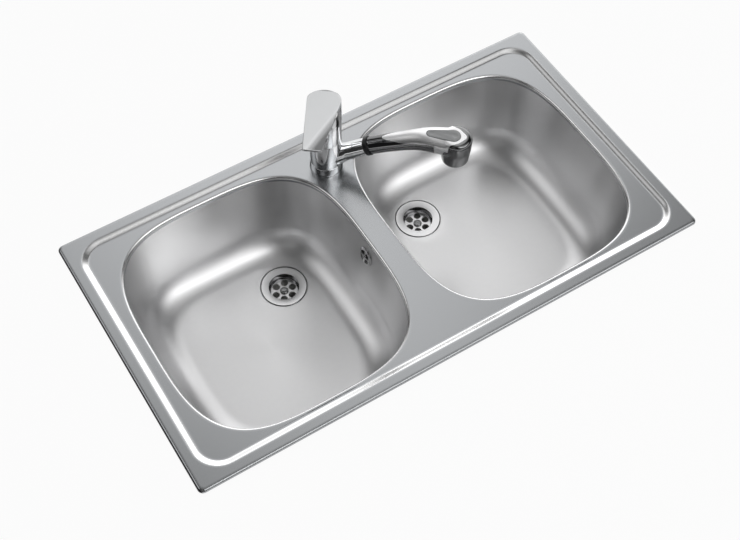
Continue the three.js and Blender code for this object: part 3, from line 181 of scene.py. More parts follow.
# the camera: the point it looks at, and how it looks there
AIM = Vector((-43.0, -41.9, 0.0)) * MM
AZIMUTH = math.radians(32.43)
ELEVATION = math.radians(56.81)
ROLL = math.radians(0.83)
DISTANCE = 1.7675
LENS = 61.73
SENSOR = 36


# ---- outlines
def arc(cx, cy, radius, start, end, steps):
    """Points of an arc; angles in degrees."""
    turns = [math.radians(start + (end - start) * i / steps) for i in range(steps + 1)]
    return [(cx + radius * math.cos(a), cy + radius * math.sin(a)) for a in turns]


def curve(a, b, c, steps):
    """Points of a smooth curve from a to c, drawn towards b."""
    shares = [k / steps for k in range(steps + 1)]
    return [tuple(a * (1 - t) ** 2 + b * 2 * t * (1 - t) + c * t * t) for t in shares]


def soften(corners, steps=4):
    """A closed outline whose corners (x, y, radius) are rounded; (x, y) stays sharp."""
    points = []
    for i, corner in enumerate(corners):
        here = Vector(corner[:2])
        if len(corner) < 3:
            points.append(tuple(here))
            continue
        before = Vector(corners[i - 1][:2]) - here
        after = Vector(corners[(i + 1) % len(corners)][:2]) - here
        trim = corner[2] / math.tan(before.angle(after) / 2)
        trim = min(trim, before.length * 0.49, after.length * 0.49)
        points += curve(here + before.normalized() * trim, here, here + after.normalized() * trim, steps)
    return points


def rectangle(x0, x1, y0, y1):
    return [(x0, y0), (x1, y0), (x1, y1), (x0, y1)]


def rim_ring(inset, radius, height):
    """The sink's rectangle drawn in by an inset, with round corners."""
    hx, hy = RIM_HALF[0] - inset - radius, RIM_HALF[1] - inset - radius
    signs = ((1, 1, 0), (-1, 1, 90), (-1, -1, 180), (1, -1, 270))
    return [Vector((x, y, height)) for sx, sy, turn in signs
            for x, y in arc(sx * hx, sy * hy, radius, turn, turn + 90, 10)]


def squared(share, power):
    """One coordinate of a superellipse of size 1, from a circle's."""
    return math.copysign(abs(share) ** (2 / power), share)


def bowl_ring(side, inset, height):
    """A bowl's outline drawn in from its opening by an inset."""
    ring = []
    for i in range(OUTLINE):
        angle = 2 * math.pi * (i + 0.5) / OUTLINE
        ring.append(Vector((
            side * BOWL_CENTRE[0] + (OPENING[0] - inset) * squared(math.cos(angle), OPENING_POWER),
            BOWL_CENTRE[1] + (OPENING[1] - inset) * squared(math.sin(angle), OPENING_POWER),
            height,
        )))
    return ring


def circle_ring(cx, cy, radius, height, like=None):
    """A circle; its points face the same ways as those of another ring, if one is given."""
    if like is None:
        return [Vector((x, y, height)) for x, y in arc(cx, cy, radius, 0, 360, ROUND)[:-1]]
    middle = sum(like, Vector()) / len(like)
    ways = [math.atan2(p.y - middle.y, p.x - middle.x) for p in like]
    return [Vector((cx + radius * math.cos(a), cy + radius * math.sin(a), height)) for a in ways]


# ---- mesh building
def placed(name, data):
    """A new object in the scene with its data."""
    thing = bpy.data.objects.new(name, data)
    bpy.context.scene.collection.objects.link(thing)
    return thing


def new_object(name, points, faces):
    mesh = bpy.data.meshes.new(name)
    mesh.from_pydata([tuple(p) for p in points], [], faces)
    mesh.update()
    return placed(name, mesh)


def bridged(rings, closed=False):
    """Faces between rings of equal length, as (points, faces)."""
    count = len(rings[0])
    points = [p for ring in rings for p in ring]
    faces = []
    for a in range(len(rings) if closed else len(rings) - 1):
        b = (a + 1) % len(rings)
        for k in range(count):
            n = (k + 1) % count
            faces.append((a * count + k, a * count + n, b * count + n, b * count + k))
    return points, faces


def reworked(piece, *works):
    """Lets functions work on a piece's mesh, one after another."""
    bm = bmesh.new()
    bm.from_mesh(piece.data)
    for work in works:
        work(bm)
    bm.to_mesh(piece.data)
    bm.free()
    return piece


def merge(distance):
    return lambda bm: bmesh.ops.remove_doubles(bm, verts=bm.verts, dist=distance)


def face_out(bm):
    bmesh.ops.recalc_face_normals(bm, faces=bm.faces)


def face_up(bm):
    """Turns a skin over if its largest face looks down."""
    if max(bm.faces, key=lambda face: face.calc_area()).normal.z < 0:
        bmesh.ops.reverse_faces(bm, faces=bm.faces)


def open_axis(bm):
    """Leaves out the faces that a turned piece's axis has squeezed flat."""
    bmesh.ops.delete(bm, geom=[f for f in bm.faces if f.calc_area() < 1e-7], context="FACES_ONLY")
    bmesh.ops.delete(bm, geom=[e for e in bm.edges if not e.link_faces], context="EDGES")


def solid(name, points, faces):
    """A closed body from (points, faces), its doubles merged and its faces outwards."""
    return reworked(new_object(name, points, faces), merge(0.0005), face_out)


def loft(name, rings):
    """Rings joined one to the next, with both ends closed."""
    points, faces = bridged(rings)
    count = len(rings[0])
    ends = [tuple(range(count)), tuple(range(len(points) - count, len(points)))]
    return solid(name, points, faces + ends)


def lathe(name, profile, segments):
    """A closed profile (radius, height) turned about the Z axis."""
    rings = []
    for i in range(segments):
        a = 2 * math.pi * i / segments
        rings.append([Vector((r * math.cos(a), r * math.sin(a), z)) for r, z in profile])
    return reworked(solid(name, *bridged(rings, closed=True)), open_axis)


def spun(name, corners, steps=4, segments=ROUND):
    """A closed profile of corners (radius, height, rounding) turned about the Z axis."""
    return lathe(name, soften(corners, steps), segments)


def drum(name, radius, low, high, soft=0.1, segments=ROUND):
    """A short solid cylinder with softened edges."""
    return spun(name, [(0, low), (radius, low, soft), (radius, high, soft), (0, high)], 3, segments)


def tube(name, outer, inner, low, high, soft):
    return spun(name, [(*corner, soft) for corner in rectangle(inner, outer, low, high)], 3)


def prism(name, outline, low, high):
    """An outline (x, y) raised from one height to another."""
    rings = [[Vector((x, y, z)) for x, y in outline] for z in (low, high)]
    return loft(name, rings)


def slab(name, outline, width):
    """An outline (x, z) in the XZ plane, given a width across it."""
    rings = [[Vector((x, y, z)) for x, z in outline] for y in (-width / 2, width / 2)]
    return loft(name, rings)


def evaluated(piece):
    """Applies a piece's modifiers to its mesh."""
    graph = bpy.context.evaluated_depsgraph_get()
    mesh = bpy.data.meshes.new_from_object(piece.evaluated_get(graph))
    old = piece.data
    piece.modifiers.clear()
    piece.data = mesh
    bpy.data.meshes.remove(old)
    return piece


def modified(piece, kind, **settings):
    """Adds one modifier with its settings and applies it."""
    modifier = piece.modifiers.new(kind.title(), kind)
    for name, value in settings.items():
        setattr(modifier, name, value)
    return evaluated(piece)


def combined(piece, other, operation):
    """A boolean of two closed pieces; the second one is used up."""
    modified(piece, "BOOLEAN", operation=operation, object=other, solver="EXACT")
    bpy.data.objects.remove(other)
    return piece


def cut(piece, other):
    return combined(piece, other, "DIFFERENCE")


def joined(piece, other):
    return combined(piece, other, "UNION")


def turned(piece, matrix):
    piece.data.transform(matrix)
    return piece


def moved(piece, x, y, z):
    return turned(piece, Matrix.Translation((x, y, z)))


def copied(piece, name):
    return placed(name, piece.data.copy())


def flat_fill(outer, holes):
    """Flat faces between an outer ring and the holes in it, as (points, faces)."""
    bm = bmesh.new()
    for ring in (outer, *holes):
        verts = [bm.verts.new(p) for p in ring]
        for a, b in zip(verts, verts[1:] + verts[:1]):
            bm.edges.new((a, b))
    bmesh.ops.triangle_fill(bm, use_beauty=True, edges=bm.edges[:], normal=(0, 0, 1))
    bm.verts.index_update()
    points = [v.co.copy() for v in bm.verts]
    faces = [tuple(v.index for v in f.verts) for f in bm.faces]
    bm.free()
    return points, faces


def sheet_piece(name, parts, thickness):
    """Open surfaces merged into one skin that faces up, given a sheet's thickness below."""
    points, faces = [], []
    for some, joins in parts:
        faces += [tuple(i + len(points) for i in face) for face in joins]
        points += some
    piece = reworked(new_object(name, points, faces), merge(0.002), face_out, face_up)
    return modified(piece, "SOLIDIFY", thickness=thickness, offset=-1, use_even_offset=True)


def finish_of(slot):
    """The finish of a slot, unless a piece says otherwise."""
    return "deck steel" if slot == "brushed_steel" else slot.replace("_", " ")


def dressed(piece, body, slot, nodes, place=None, finish=None, sharp=32):
    """Puts a finished piece in its place, in metres, on its body, for its nodes."""
    mesh = piece.data
    mesh.transform(Matrix.Scale(MM, 4) @ (place or Matrix.Identity(4)))
    mesh.materials.clear()
    mesh.materials.append(bpy.data.materials[finish or finish_of(slot)])
    mesh.shade_smooth()
    mesh.set_sharp_from_angle(angle=math.radians(sharp))
    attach(piece, body)
    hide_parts(*nodes)
    return piece


def mark_faces(piece, name, test):
    """Sets an attribute of a piece's faces to what a test of each gives."""
    mark = piece.data.attributes.new(name, "FLOAT", "FACE")
    for face, share in zip(piece.data.polygons, mark.data):
        share.value = test(face)


def mark_satin(piece, way, least):
    """Marks the faces that look one way as satin."""
    mark_faces(piece, "satin", lambda face: face.normal.dot(way) > least)


# ---- nodes and repeated shapes
def plug(tree, slot, value):
    """Gives a socket a value, or links another socket to it."""
    if isinstance(value, Value):
        value = value.socket
    if isinstance(value, bpy.types.NodeSocket):
        tree.links.new(value, slot)
    else:
        slot.default_value = value


def add_node(tree, kind, settings=None, **sockets):
    """A node of a kind, its settings first, then the values or links of its sockets."""
    node = tree.nodes.new(kind)
    for name, value in (settings or {}).items():
        setattr(node, name, value)
    for name, value in sockets.items():
        plug(tree, node.inputs[name.replace("_", " ")], value)
    return node


RING_SOCKETS = (("Piece", "Geometry"), ("Body", "Object"), ("Count", "Int"), ("Ring Radius", "Float"),
                ("First Angle", "Float"), ("Level", "Float"), ("Material", "Material"))


def ring_tree(name, operation):
    """Geometry nodes: a ring of small bodies cut from a piece, or joined to it."""
    tree = bpy.data.node_groups.new(name, "GeometryNodeTree")
    for label, kind in RING_SOCKETS:
        tree.interface.new_socket(label, in_out="INPUT", socket_type="NodeSocket" + kind)
    tree.interface.new_socket("Geometry", in_out="OUTPUT", socket_type="NodeSocketGeometry")
    given = tree.nodes.new("NodeGroupInput").outputs

    def made(kind, out, **sockets):
        return add_node(tree, kind, **sockets).outputs[out]

    def upright(value):
        """A vector along Z."""
        return made("ShaderNodeCombineXYZ", "Vector", Z=value)

    step = Value(tree, 2 * math.pi) / Value(tree, given["Count"])
    turn = Value(tree, made("GeometryNodeInputIndex", 0)) * step
    ring = made("GeometryNodeMeshCircle", "Mesh", Vertices=given["Count"], Radius=given["Ring Radius"])
    body = made("GeometryNodeObjectInfo", "Geometry", Object=given["Body"])
    spread = made("GeometryNodeInstanceOnPoints", "Instances", Points=ring, Instance=body,
                  Rotation=upright(turn))
    lifted = made("GeometryNodeTransform", "Geometry", Translation=upright(given["Level"]),
                  Rotation=upright(given["First Angle"]),
                  Geometry=made("GeometryNodeRealizeInstances", "Geometry", Geometry=spread))
    joint = add_node(tree, "GeometryNodeMeshBoolean", {"operation": operation, "solver": "EXACT"})
    plug(tree, joint.inputs["Mesh 1" if operation == "DIFFERENCE" else "Mesh 2"], given["Piece"])
    plug(tree, joint.inputs["Mesh 2"], lifted)
    real = made("GeometryNodeRealizeInstances", "Geometry", Geometry=joint.outputs["Mesh"])
    paint = made("GeometryNodeSetMaterial", "Geometry", Geometry=real, Material=given["Material"])
    plug(tree, tree.nodes.new("NodeGroupOutput").inputs["Geometry"], paint)
    return tree


def with_ring(piece, tree, body, count, radius, first, level, material):
    """Runs a ring tree on a piece, in the piece's own frame; the body is used up."""
    modifier = piece.modifiers.new("Ring", "NODES")
    modifier.node_group = tree
    values = {"Body": body, "Count": count, "Ring Radius": float(radius), "Level": float(level),
              "First Angle": math.radians(first), "Material": bpy.data.materials[material]}
    for item in tree.interface.items_tree:
        if item.in_out == "INPUT" and item.name in values:
            modifier[item.identifier] = values[item.name]
    evaluated(piece)
    bpy.data.objects.remove(body)
    return piece


# ---- materials
class Value:
    """A number on its way through a node tree; expressions on it add the Math nodes."""

    def __init__(self, tree, start):
        if isinstance(start, (int, float)):
            node = tree.nodes.new("ShaderNodeValue")
            node.outputs[0].default_value = start
            start = node.outputs[0]
        self.tree, self.socket = tree, start

    def math(self, operation, *terms):
        node = self.tree.nodes.new("ShaderNodeMath")
        node.operation = operation
        for slot, term in zip(node.inputs, terms):
            plug(self.tree, slot, term)
        return Value(self.tree, node.outputs[0])

    def __add__(self, other):
        return self.math("ADD", self, other)

    def __sub__(self, other):
        return self.math("SUBTRACT", self, other)

    def __rsub__(self, other):
        return self.math("SUBTRACT", other, self)

    def __mul__(self, other):
        return self.math("MULTIPLY", self, other)

    def __truediv__(self, other):
        return self.math("DIVIDE", self, other)

    __radd__, __rmul__ = __add__, __mul__

    def between(self, low, high):
        """0 below low, 1 above high, smooth between."""
        node = add_node(self.tree, "ShaderNodeMapRange", {"interpolation_type": "SMOOTHSTEP"},
                        From_Min=low, From_Max=high, Value=self)
        return Value(self.tree, node.outputs[0])


class Finish:
    """A material under construction around one Principled shader."""

    def __init__(self, name):
        self.material = bpy.data.materials.new(name)
        self.material.use_nodes = True
        self.tree = self.material.node_tree
        self.shader = self.tree.nodes["Principled BSDF"]
        self.place = self.node("ShaderNodeTexCoord").outputs["Object"]

    def node(self, kind, settings=None, **sockets):
        return add_node(self.tree, kind, settings, **sockets)

    def value(self, kind, out, settings=None, **sockets):
        """A new node's output, as a value."""
        return Value(self.tree, self.node(kind, settings, **sockets).outputs[out])

    def mark(self, name):
        """The value of an attribute of the piece's own."""
        return self.value("ShaderNodeAttribute", "Fac", {"attribute_name": name})

    def set(self, **sockets):
        for name, value in sockets.items():
            plug(self.tree, self.shader.inputs[name.replace("_", " ")], value)
        return self

    def scaled(self, x, y, z):
        return self.node("ShaderNodeMapping", Vector=self.place, Scale=(x, y, z)).outputs["Vector"]

    def noise(self, scale, detail=2.0, where=None):
        return self.value("ShaderNodeTexNoise", "Fac", Vector=where or self.place, Scale=scale,
                          Detail=detail)

    def shade(self, colour, value, spread):
        """The colour, lighter and darker by a spread as a value runs from 0 to 1."""
        dark = [c * (1 - spread) for c in colour[:3]] + [1]
        light = [min(1, c * (1 + spread)) for c in colour[:3]] + [1]
        return self.mixed(value, dark, light)

    def mixed(self, share, first, second):
        """A colour between two colours."""
        mix = self.node("ShaderNodeMix", {"data_type": "RGBA"})
        colours = [slot for slot in mix.inputs if slot.type == "RGBA"]
        for slot, value in ((mix.inputs["Factor"], share), (colours[0], first), (colours[1], second)):
            plug(self.tree, slot, value)
        return next(out for out in mix.outputs if out.type == "RGBA")

    def tinted(self, share, colour):
        """Mixes a colour over the one that is there."""
        plain = self.shader.inputs["Base Color"].links[0].from_socket
        return self.set(Base_Color=self.mixed(share, plain, colour))

    def bumped(self, height, depth):
        bump = self.node("ShaderNodeBump", Height=height, Distance=depth, Strength=1.0)
        return self.set(Normal=bump.outputs["Normal"])


# painted light colours: a painted highlight on the bowls' back walls, painted shade on the bowls' side
# walls and down the rim's left end
PAINTED_HIGHLIGHT_STEEL = (0.97, 0.97, 0.97, 1)
PAINTED_SHADE_STEEL = (0.05, 0.05, 0.052, 1)
PAINTED_SHADE_EDGE = (0.03, 0.03, 0.032, 1)


def brushed_metal(name, colour, rough, grain, spread, streak=0.06, depth=0.000004):
    """Steel with a fine grain drawn out along one direction and soft wide mottling."""
    finish = Finish(name)
    lines = finish.noise(1.0, 3.0, finish.scaled(*grain))
    cloud = finish.noise(7.0, 3.0)
    finish.set(
        Metallic=1.0,
        Base_Color=finish.shade(colour, lines * 0.5 + cloud * 0.5, spread),
        Roughness=(lines - 0.5) * streak + (cloud - 0.5) * streak + rough,
    )
    return finish.bumped(lines, depth)


def pressed_steel(name, colour, rough, bright, dark):
    """Grained steel with painted light: a highlight painted on where a piece's face attribute is 1 (the
    deck's step and lips), shade painted on where it is -1 (its dark edge).
    """
    finish = brushed_metal(name, colour, rough, (14, 900, 900), 0.02, 0.02, 0.000001)
    painted_light = finish.mark("painted_light")
    return finish.tinted(painted_light, bright).tinted(painted_light * -1, dark)


def drawn_steel(name, colour, rough, shade):
    """Satin steel with painted light: the bowls' back walls painted paler as a highlight, the side walls
    painted darker as shade in soft upright streaks, partly the drawn grain and partly painted
    reflection.
    """
    finish = brushed_metal(name, colour, rough, (160, 160, 1200), 0.04, 0.05)
    finish.set(Anisotropic=0.35, Anisotropic_Rotation=0.25)
    parts = finish.node("ShaderNodeSeparateXYZ", Vector=finish.place).outputs
    x, y, height = (Value(finish.tree, parts[axis]) for axis in "XYZ")
    wall = height.between((BOWL_FLOOR + 20) * MM, (SEAM - 25) * MM)
    # how far along its bowl a point lies, then the shares of the right, left and back walls that take
    # the painted shade and highlight
    along = x - x.math("SIGN", x) * (BOWL_CENTRE[0] * MM)
    right, left = along.between(-0.07, 0.03), (along * -1).between(0.11, 0.165)
    back = y.between(0.09, 0.15) * (1 - right) * (1 - left)
    streaks = finish.noise(1.0, 1.0, finish.scaled(13, 13, 0.6)).between(0.35, 0.65)
    # painted shade: the walls darker below the rim, most on the right and left walls, broken into
    # upright streaks and scaled by the wall shade setting
    share = wall * (right * 0.85 + left * 0.7 + 0.1) * (streaks * 0.5 + 0.5) * shade
    # painted highlight on the back walls, then the painted shade over the side walls
    return finish.tinted(wall * back, PAINTED_HIGHLIGHT_STEEL).tinted(share, PAINTED_SHADE_STEEL)


def bright_metal(name, colour, rough, spread=0.02, smudge=0.04):
    """Plated or polished metal with faint smudges."""
    finish = Finish(name)
    cloud = finish.noise(45.0, 3.0)
    finish.set(
        Metallic=1.0,
        Base_Color=finish.shade(colour, cloud, spread),
        Roughness=cloud.between(0.45, 0.75) * smudge + rough,
    )
    return finish.bumped(finish.noise(900.0, 1.0), 0.000001)


def part_satin(name, satin, chrome, satin_rough, chrome_rough):
    """Chrome that is satin where a piece's own "satin" attribute is 1."""
    finish = Finish(name)
    share, cloud = finish.mark("satin"), finish.noise(45.0, 3.0)
    finish.set(
        Metallic=1.0,
        Base_Color=finish.mixed(share, finish.shade(chrome, cloud, 0.02),
                                finish.shade(satin, cloud, 0.03)),
        Roughness=share * (satin_rough - chrome_rough) + (cloud - 0.5) * 0.03 + chrome_rough,
    )
    return finish.bumped(finish.noise(900.0, 1.0), 0.000001)


def moulded(name, colour, rough):
    """Moulded plastic or rubber: a fine grain and slight wear."""
    finish = Finish(name)
    fine, cloud = finish.noise(1500.0), finish.noise(25.0, 3.0)
    finish.set(
        Base_Color=finish.shade(colour, cloud, 0.06),
        Roughness=(fine - 0.5) * 0.1 + (cloud - 0.5) * 0.1 + rough,
    )
    return finish.bumped(fine, 0.00002)


def braid(name, colour):
    """The woven steel cover of a hose: two sets of slanted strands."""
    finish = Finish(name)
    one, two = (finish.value("ShaderNodeTexWave", "Fac", {"bands_direction": "DIAGONAL"},
                             Vector=finish.scaled(way, 1, 1), Scale=500.0) for way in (1, -1))
    weave = one * two
    finish.set(Base_Color=finish.shade(colour, weave, 0.4), Metallic=0.8, Roughness=weave * 0.2 + 0.3)
    return finish.bumped(weave, 0.0001)


# ---- settings
def colour_property(name, description, default):
    return bpy.props.FloatVectorProperty(name=name, description=description, subtype="COLOR",
                                         size=4, min=0, max=1, default=(*default, 1))


def size_property(name, description, default, low, high):
    return bpy.props.FloatProperty(name=name, description=description + ", in millimetres",
                                   default=default, min=low, max=high)


def share_property(name, description, default):
    return bpy.props.FloatProperty(name=name, description=description, default=default, subtype="FACTOR")


class SinkSizes(bpy.types.PropertyGroup):
    """Sizes that a user would change."""

    sheet: size_property("Sheet", "Thickness of the steel sheet", 0.9, 0.5, 1.5)
    soft_edge: size_property("Soft edge", "Rounding of turned edges", 0.5, 0.1, 1.5)
    blend: bpy.props.IntProperty(
        name="Spray blend", description="Smoothing passes where the grip meets the head",
        default=24, min=0, max=60)
    voxel: size_property("Spray detail", "Mesh size of the spray's body", 0.7, 0.4, 2)
    floor_size: bpy.props.FloatProperty(
        name="Floor", description="Side of the worktop around the sink", default=9.0, unit="LENGTH")


class SinkFinishes(bpy.types.PropertyGroup):
    """Colours and roughness of the main finishes."""

    steel: colour_property("Steel", "Colour of the deck's steel", (0.405, 0.415, 0.425))
    # painted highlight: the colour painted on the deck's step and lips
    pressed: colour_property("Pressed steel", "Colour of the deck's step and lips", (0.93, 0.93, 0.93))
    bowl_steel: colour_property("Bowl steel", "Colour of the bowls' steel", (0.83, 0.83, 0.835))
    chrome: colour_property("Chrome", "Colour of the plated metal", (0.54, 0.545, 0.55))
    satin: colour_property("Satin", "Colour of the satin plated metal", (0.40, 0.405, 0.41))
    shell: colour_property("Shell", "Colour of the spray's satin shell", (0.93, 0.93, 0.935))
    pad: colour_property("Pad", "Colour of the spray's mode pad", (0.37, 0.375, 0.38))
    floor: colour_property("Floor", "Colour of the worktop", (0.96, 0.96, 0.96))
    # painted shade on the bowls' walls below the rim
    painted_wall_shade: share_property("Wall shade", "How dark the bowls' walls grow below the rim", 0.5)
    floor_glow: share_property("Floor glow", "Share of the worktop seen as plain white", 0.93)
    deck_roughness: share_property("Deck roughness", "Roughness of the deck's steel", 0.26)
    bowl_roughness: share_property("Bowl roughness", "Roughness of the bowls' steel", 0.37)
    shell_roughness: share_property("Shell roughness", "Roughness of the spray's shell", 0.42)
    satin_roughness: share_property("Satin roughness", "Roughness of the satin plated metal", 0.3)


class SINK_OT_finishes(bpy.types.Operator):
    """Make the finishes and give every node of the frame its own"""

    bl_idname = "sink.finishes"
    bl_label = "Finishes"

    def execute(self, context):
        look = context.scene.sink_finishes
        pressed_steel("deck steel", look.steel, look.deck_roughness, look.pressed, PAINTED_SHADE_EDGE)
        drawn_steel("bowl steel", look.bowl_steel, look.bowl_roughness, look.painted_wall_shade)
        brushed_metal("zinc steel", (0.5, 0.5, 0.49), 0.42, (300, 300, 300), 0.12)
        bright_metal("polished steel", (0.72, 0.72, 0.725), 0.16)
        part_satin("waste steel", (0.78, 0.78, 0.785), (0.2, 0.2, 0.205), 0.3, 0.1)
        bright_metal("chrome", look.chrome, 0.045)
        # painted shade: a copy of the chrome at 0.4 of its colour, standing in for dark reflections on
        # the spray's tube and head and on the waste screws
        bright_metal("dark chrome", [0.4 * c for c in look.chrome[:3]], 0.045)
        bright_metal("satin chrome", look.satin, look.satin_roughness, 0.03, 0.03)
        bright_metal("satin shell", look.shell, look.shell_roughness, 0.03, 0.03)
        part_satin("lever chrome", look.satin, look.chrome, look.satin_roughness, 0.06)
        bright_metal("brass", (0.62, 0.46, 0.2), 0.28, 0.08, 0.1)
        moulded("black plastic", (0.012, 0.012, 0.013), 0.35)
        moulded("grey plastic", look.pad, 0.45)
        moulded("white plastic", (0.75, 0.75, 0.73), 0.42)
        moulded("pipe plastic", (0.66, 0.66, 0.63), 0.45)
        moulded("dark rubber", (0.014, 0.014, 0.015), 0.7)
        moulded("index red", (0.42, 0.03, 0.025), 0.35)
        braid("braided hose", (0.5, 0.5, 0.51))
        slots = {row["node"]: row["material_slot"] for row in frame["record"]["subparts"]}
        for name, node in frame["nodes"].items():
            node.data.materials.clear()
            node.data.materials.append(bpy.data.materials[finish_of(slots[name])])
        return {"FINISHED"}


# ---- the sink's body
def painted_deck_light(face):
    """Painted light for a deck face: up to 1, a painted highlight, on the step and the lips; -1, painted
    shade, down the left end of the rim; 0 on the flat deck.
    """
    inset = min(RIM_HALF[0] - abs(face.center.x), RIM_HALF[1] - abs(face.center.y))
    if inset < RIM_ROLL:
        return -1 if face.normal.x < -0.5 else 0
    return min(1, (1 - face.normal.z) / PAINTED_HIGHLIGHT_TILT) if face.normal.z > 0.1 else 0


class SINK_OT_deck(bpy.types.Operator):
    """Make the pressed deck: rolled rim, step, flat deck and the lips of both bowls"""

    bl_idname = "sink.deck"
    bl_label = "Deck"

    def execute(self, context):
        sheet = context.scene.sink_sizes.sheet
        # the rim's edge and step, as inset, height and corner radius
        edge = [(0, 0, RIM_CORNER)]
        edge += [(x, z, RIM_CORNER - x / 2) for x, z in
                 arc(RIM_ROLL, RIM_TOP - RIM_ROLL, RIM_ROLL, 180, 90, 8)]
        edge.append((RIM_ROLL + COLLAR, RIM_TOP, RIM_CORNER - COLLAR))
        edge.append((STEP[0] - COLLAR, RIM_TOP, STEP_CORNER[0] + COLLAR))
        for i in range(STEP_RINGS + 1):
            t = i / STEP_RINGS
            ease = t * t * (3 - 2 * t)
            edge.append((STEP[0] + (STEP[1] - STEP[0]) * t, RIM_TOP - STEP_DROP * ease,
                         STEP_CORNER[0] + (STEP_CORNER[1] - STEP_CORNER[0]) * t))
        edge.append((STEP[1] + COLLAR, DECK, STEP_CORNER[1] - COLLAR))
        rim = [rim_ring(inset, corner, height) for inset, height, corner in edge]
        parts = [bridged(rim)]
        holes = [circle_ring(0, TAP_BACK, TAP_HOLE_R, DECK)]
        for side in (-1, 1):
            lip = [(-COLLAR, 0)] + arc(0, -LIP, LIP, 90, 0, 10) + [(LIP, -2 * LIP)]
            rings = [bowl_ring(side, x, DECK + z) for x, z in lip]
            parts.append(bridged(rings))
            holes.append(rings[0])
        parts.append(flat_fill(rim[-1], holes))
        piece = sheet_piece("pressed_deck", parts, sheet)
        # painted highlight on the step and lips, painted shade down the rim's left end
        mark_faces(piece, "painted_light", painted_deck_light)
        dressed(piece, "sink", "brushed_steel", ["deck"])
        return {"FINISHED"}


BOWL_FOOT = BOWL_FLOOR + BOWL_FILLET * (1 - math.sin(BOWL_TAPER))  # where wall and fillet meet
FILLET_CENTRE = LIP + (SEAM - BOWL_FOOT) * math.tan(BOWL_TAPER) + BOWL_FILLET * math.cos(BOWL_TAPER)


def wall_rings(side):
    """A bowl's wall, from its seam down into the fillet, as far as the waste's seat leaves room."""
    rows = [(LIP + (SEAM - BOWL_FOOT) * math.tan(BOWL_TAPER) * t, SEAM + (BOWL_FOOT - SEAM) * t)
            for t in (0, 0.3, 0.65, 1)]
    rows[0] = (LIP, SEAM - 0.05)  # just clear of the lip above
    rows += arc(FILLET_CENTRE, BOWL_FLOOR + BOWL_FILLET, BOWL_FILLET,
                180 + math.degrees(BOWL_TAPER), FILLET_END, 16)[1:]
    return [bowl_ring(side, x, z) for x, z in rows]


def floor_height(side, x, y):
    """The floor's height at a point in plan: flat in the middle, rising in the fillet around it."""
    along, across = abs(x - side * BOWL_CENTRE[0]), abs(y - BOWL_CENTRE[1])
    low, high = 0, FILLET_CENTRE
    for _ in range(30):
        inset = (low + high) / 2
        outside = ((along / (OPENING[0] - inset)) ** OPENING_POWER
                   + (across / (OPENING[1] - inset)) ** OPENING_POWER > 1)
        low, high = (low, inset) if outside else (inset, high)
    reach = min(FILLET_CENTRE - low, BOWL_FILLET)
    return BOWL_FLOOR + BOWL_FILLET - math.sqrt(BOWL_FILLET ** 2 - reach ** 2)


def floor_rings(side, foot):
    """From the fillet across the floor to the edge of the waste's seat."""
    seat = circle_ring(side * WASTE[0], WASTE[1], SEAT_R + 1, 0, foot)
    rings = []
    for t in FLOOR_SHARES:
        ring = []
        for a, b in zip(foot, seat):
            x, y = a.x + (b.x - a.x) * t, a.y + (b.y - a.y) * t
            ring.append(Vector((x, y, floor_height(side, x, y))))
        rings.append(ring)
    return rings


def seat_rings(side, edge):
    """The waste's pressed seat: a rounded shoulder that runs out of the floor."""
    rings = []
    # how much wider than the seat, and the share of the way down to it
    shoulder = ((0.3, 0.04), (0.1, 0.25), (0, 0.6), (-0.1, 0.95), (-0.4, 1), (WASTE_HOLE_R - SEAT_R, 1))
    for grow, share in shoulder:
        ring = circle_ring(side * WASTE[0], WASTE[1], SEAT_R + grow, 0, edge)
        for point, above in zip(ring, edge):
            point.z = above.z + (BOWL_FLOOR - SEAT_DROP - above.z) * share
        rings.append(ring)
    return rings


def overflow_place():
    """Where the overflow sits: +Z into the bowl, +X up the wall."""
    reach = OPENING[0] - LIP - (SEAM - OVERFLOW_HEIGHT) * math.tan(BOWL_TAPER)
    place = Matrix.Translation((reach - BOWL_CENTRE[0], BOWL_CENTRE[1], OVERFLOW_HEIGHT))
    return place @ Matrix.Rotation(-(math.pi / 2 - BOWL_TAPER), 4, "Y")


class SINK_OT_bowls(bpy.types.Operator):
    """Make both drawn bowls, with the floor that falls to the waste's pressed seat"""

    bl_idname = "sink.bowls"
    bl_label = "Bowls"

    def execute(self, context):
        sheet = context.scene.sink_sizes.sheet
        for side, name in ((-1, "left"), (1, "right")):
            wall = wall_rings(side)
            floor = floor_rings(side, wall[-1])
            rings = wall + floor + seat_rings(side, floor[-1])
            piece = sheet_piece(f"{name}_drawn_bowl", [bridged(rings)], sheet)
            if side < 0:
                cut(piece, turned(drum("hole", OVERFLOW_HOLE_R, -10, 10, 0.4), overflow_place()))
            dressed(piece, "sink", "brushed_steel", [f"{name}_bowl"], None, "bowl steel", 40)
        return {"FINISHED"}


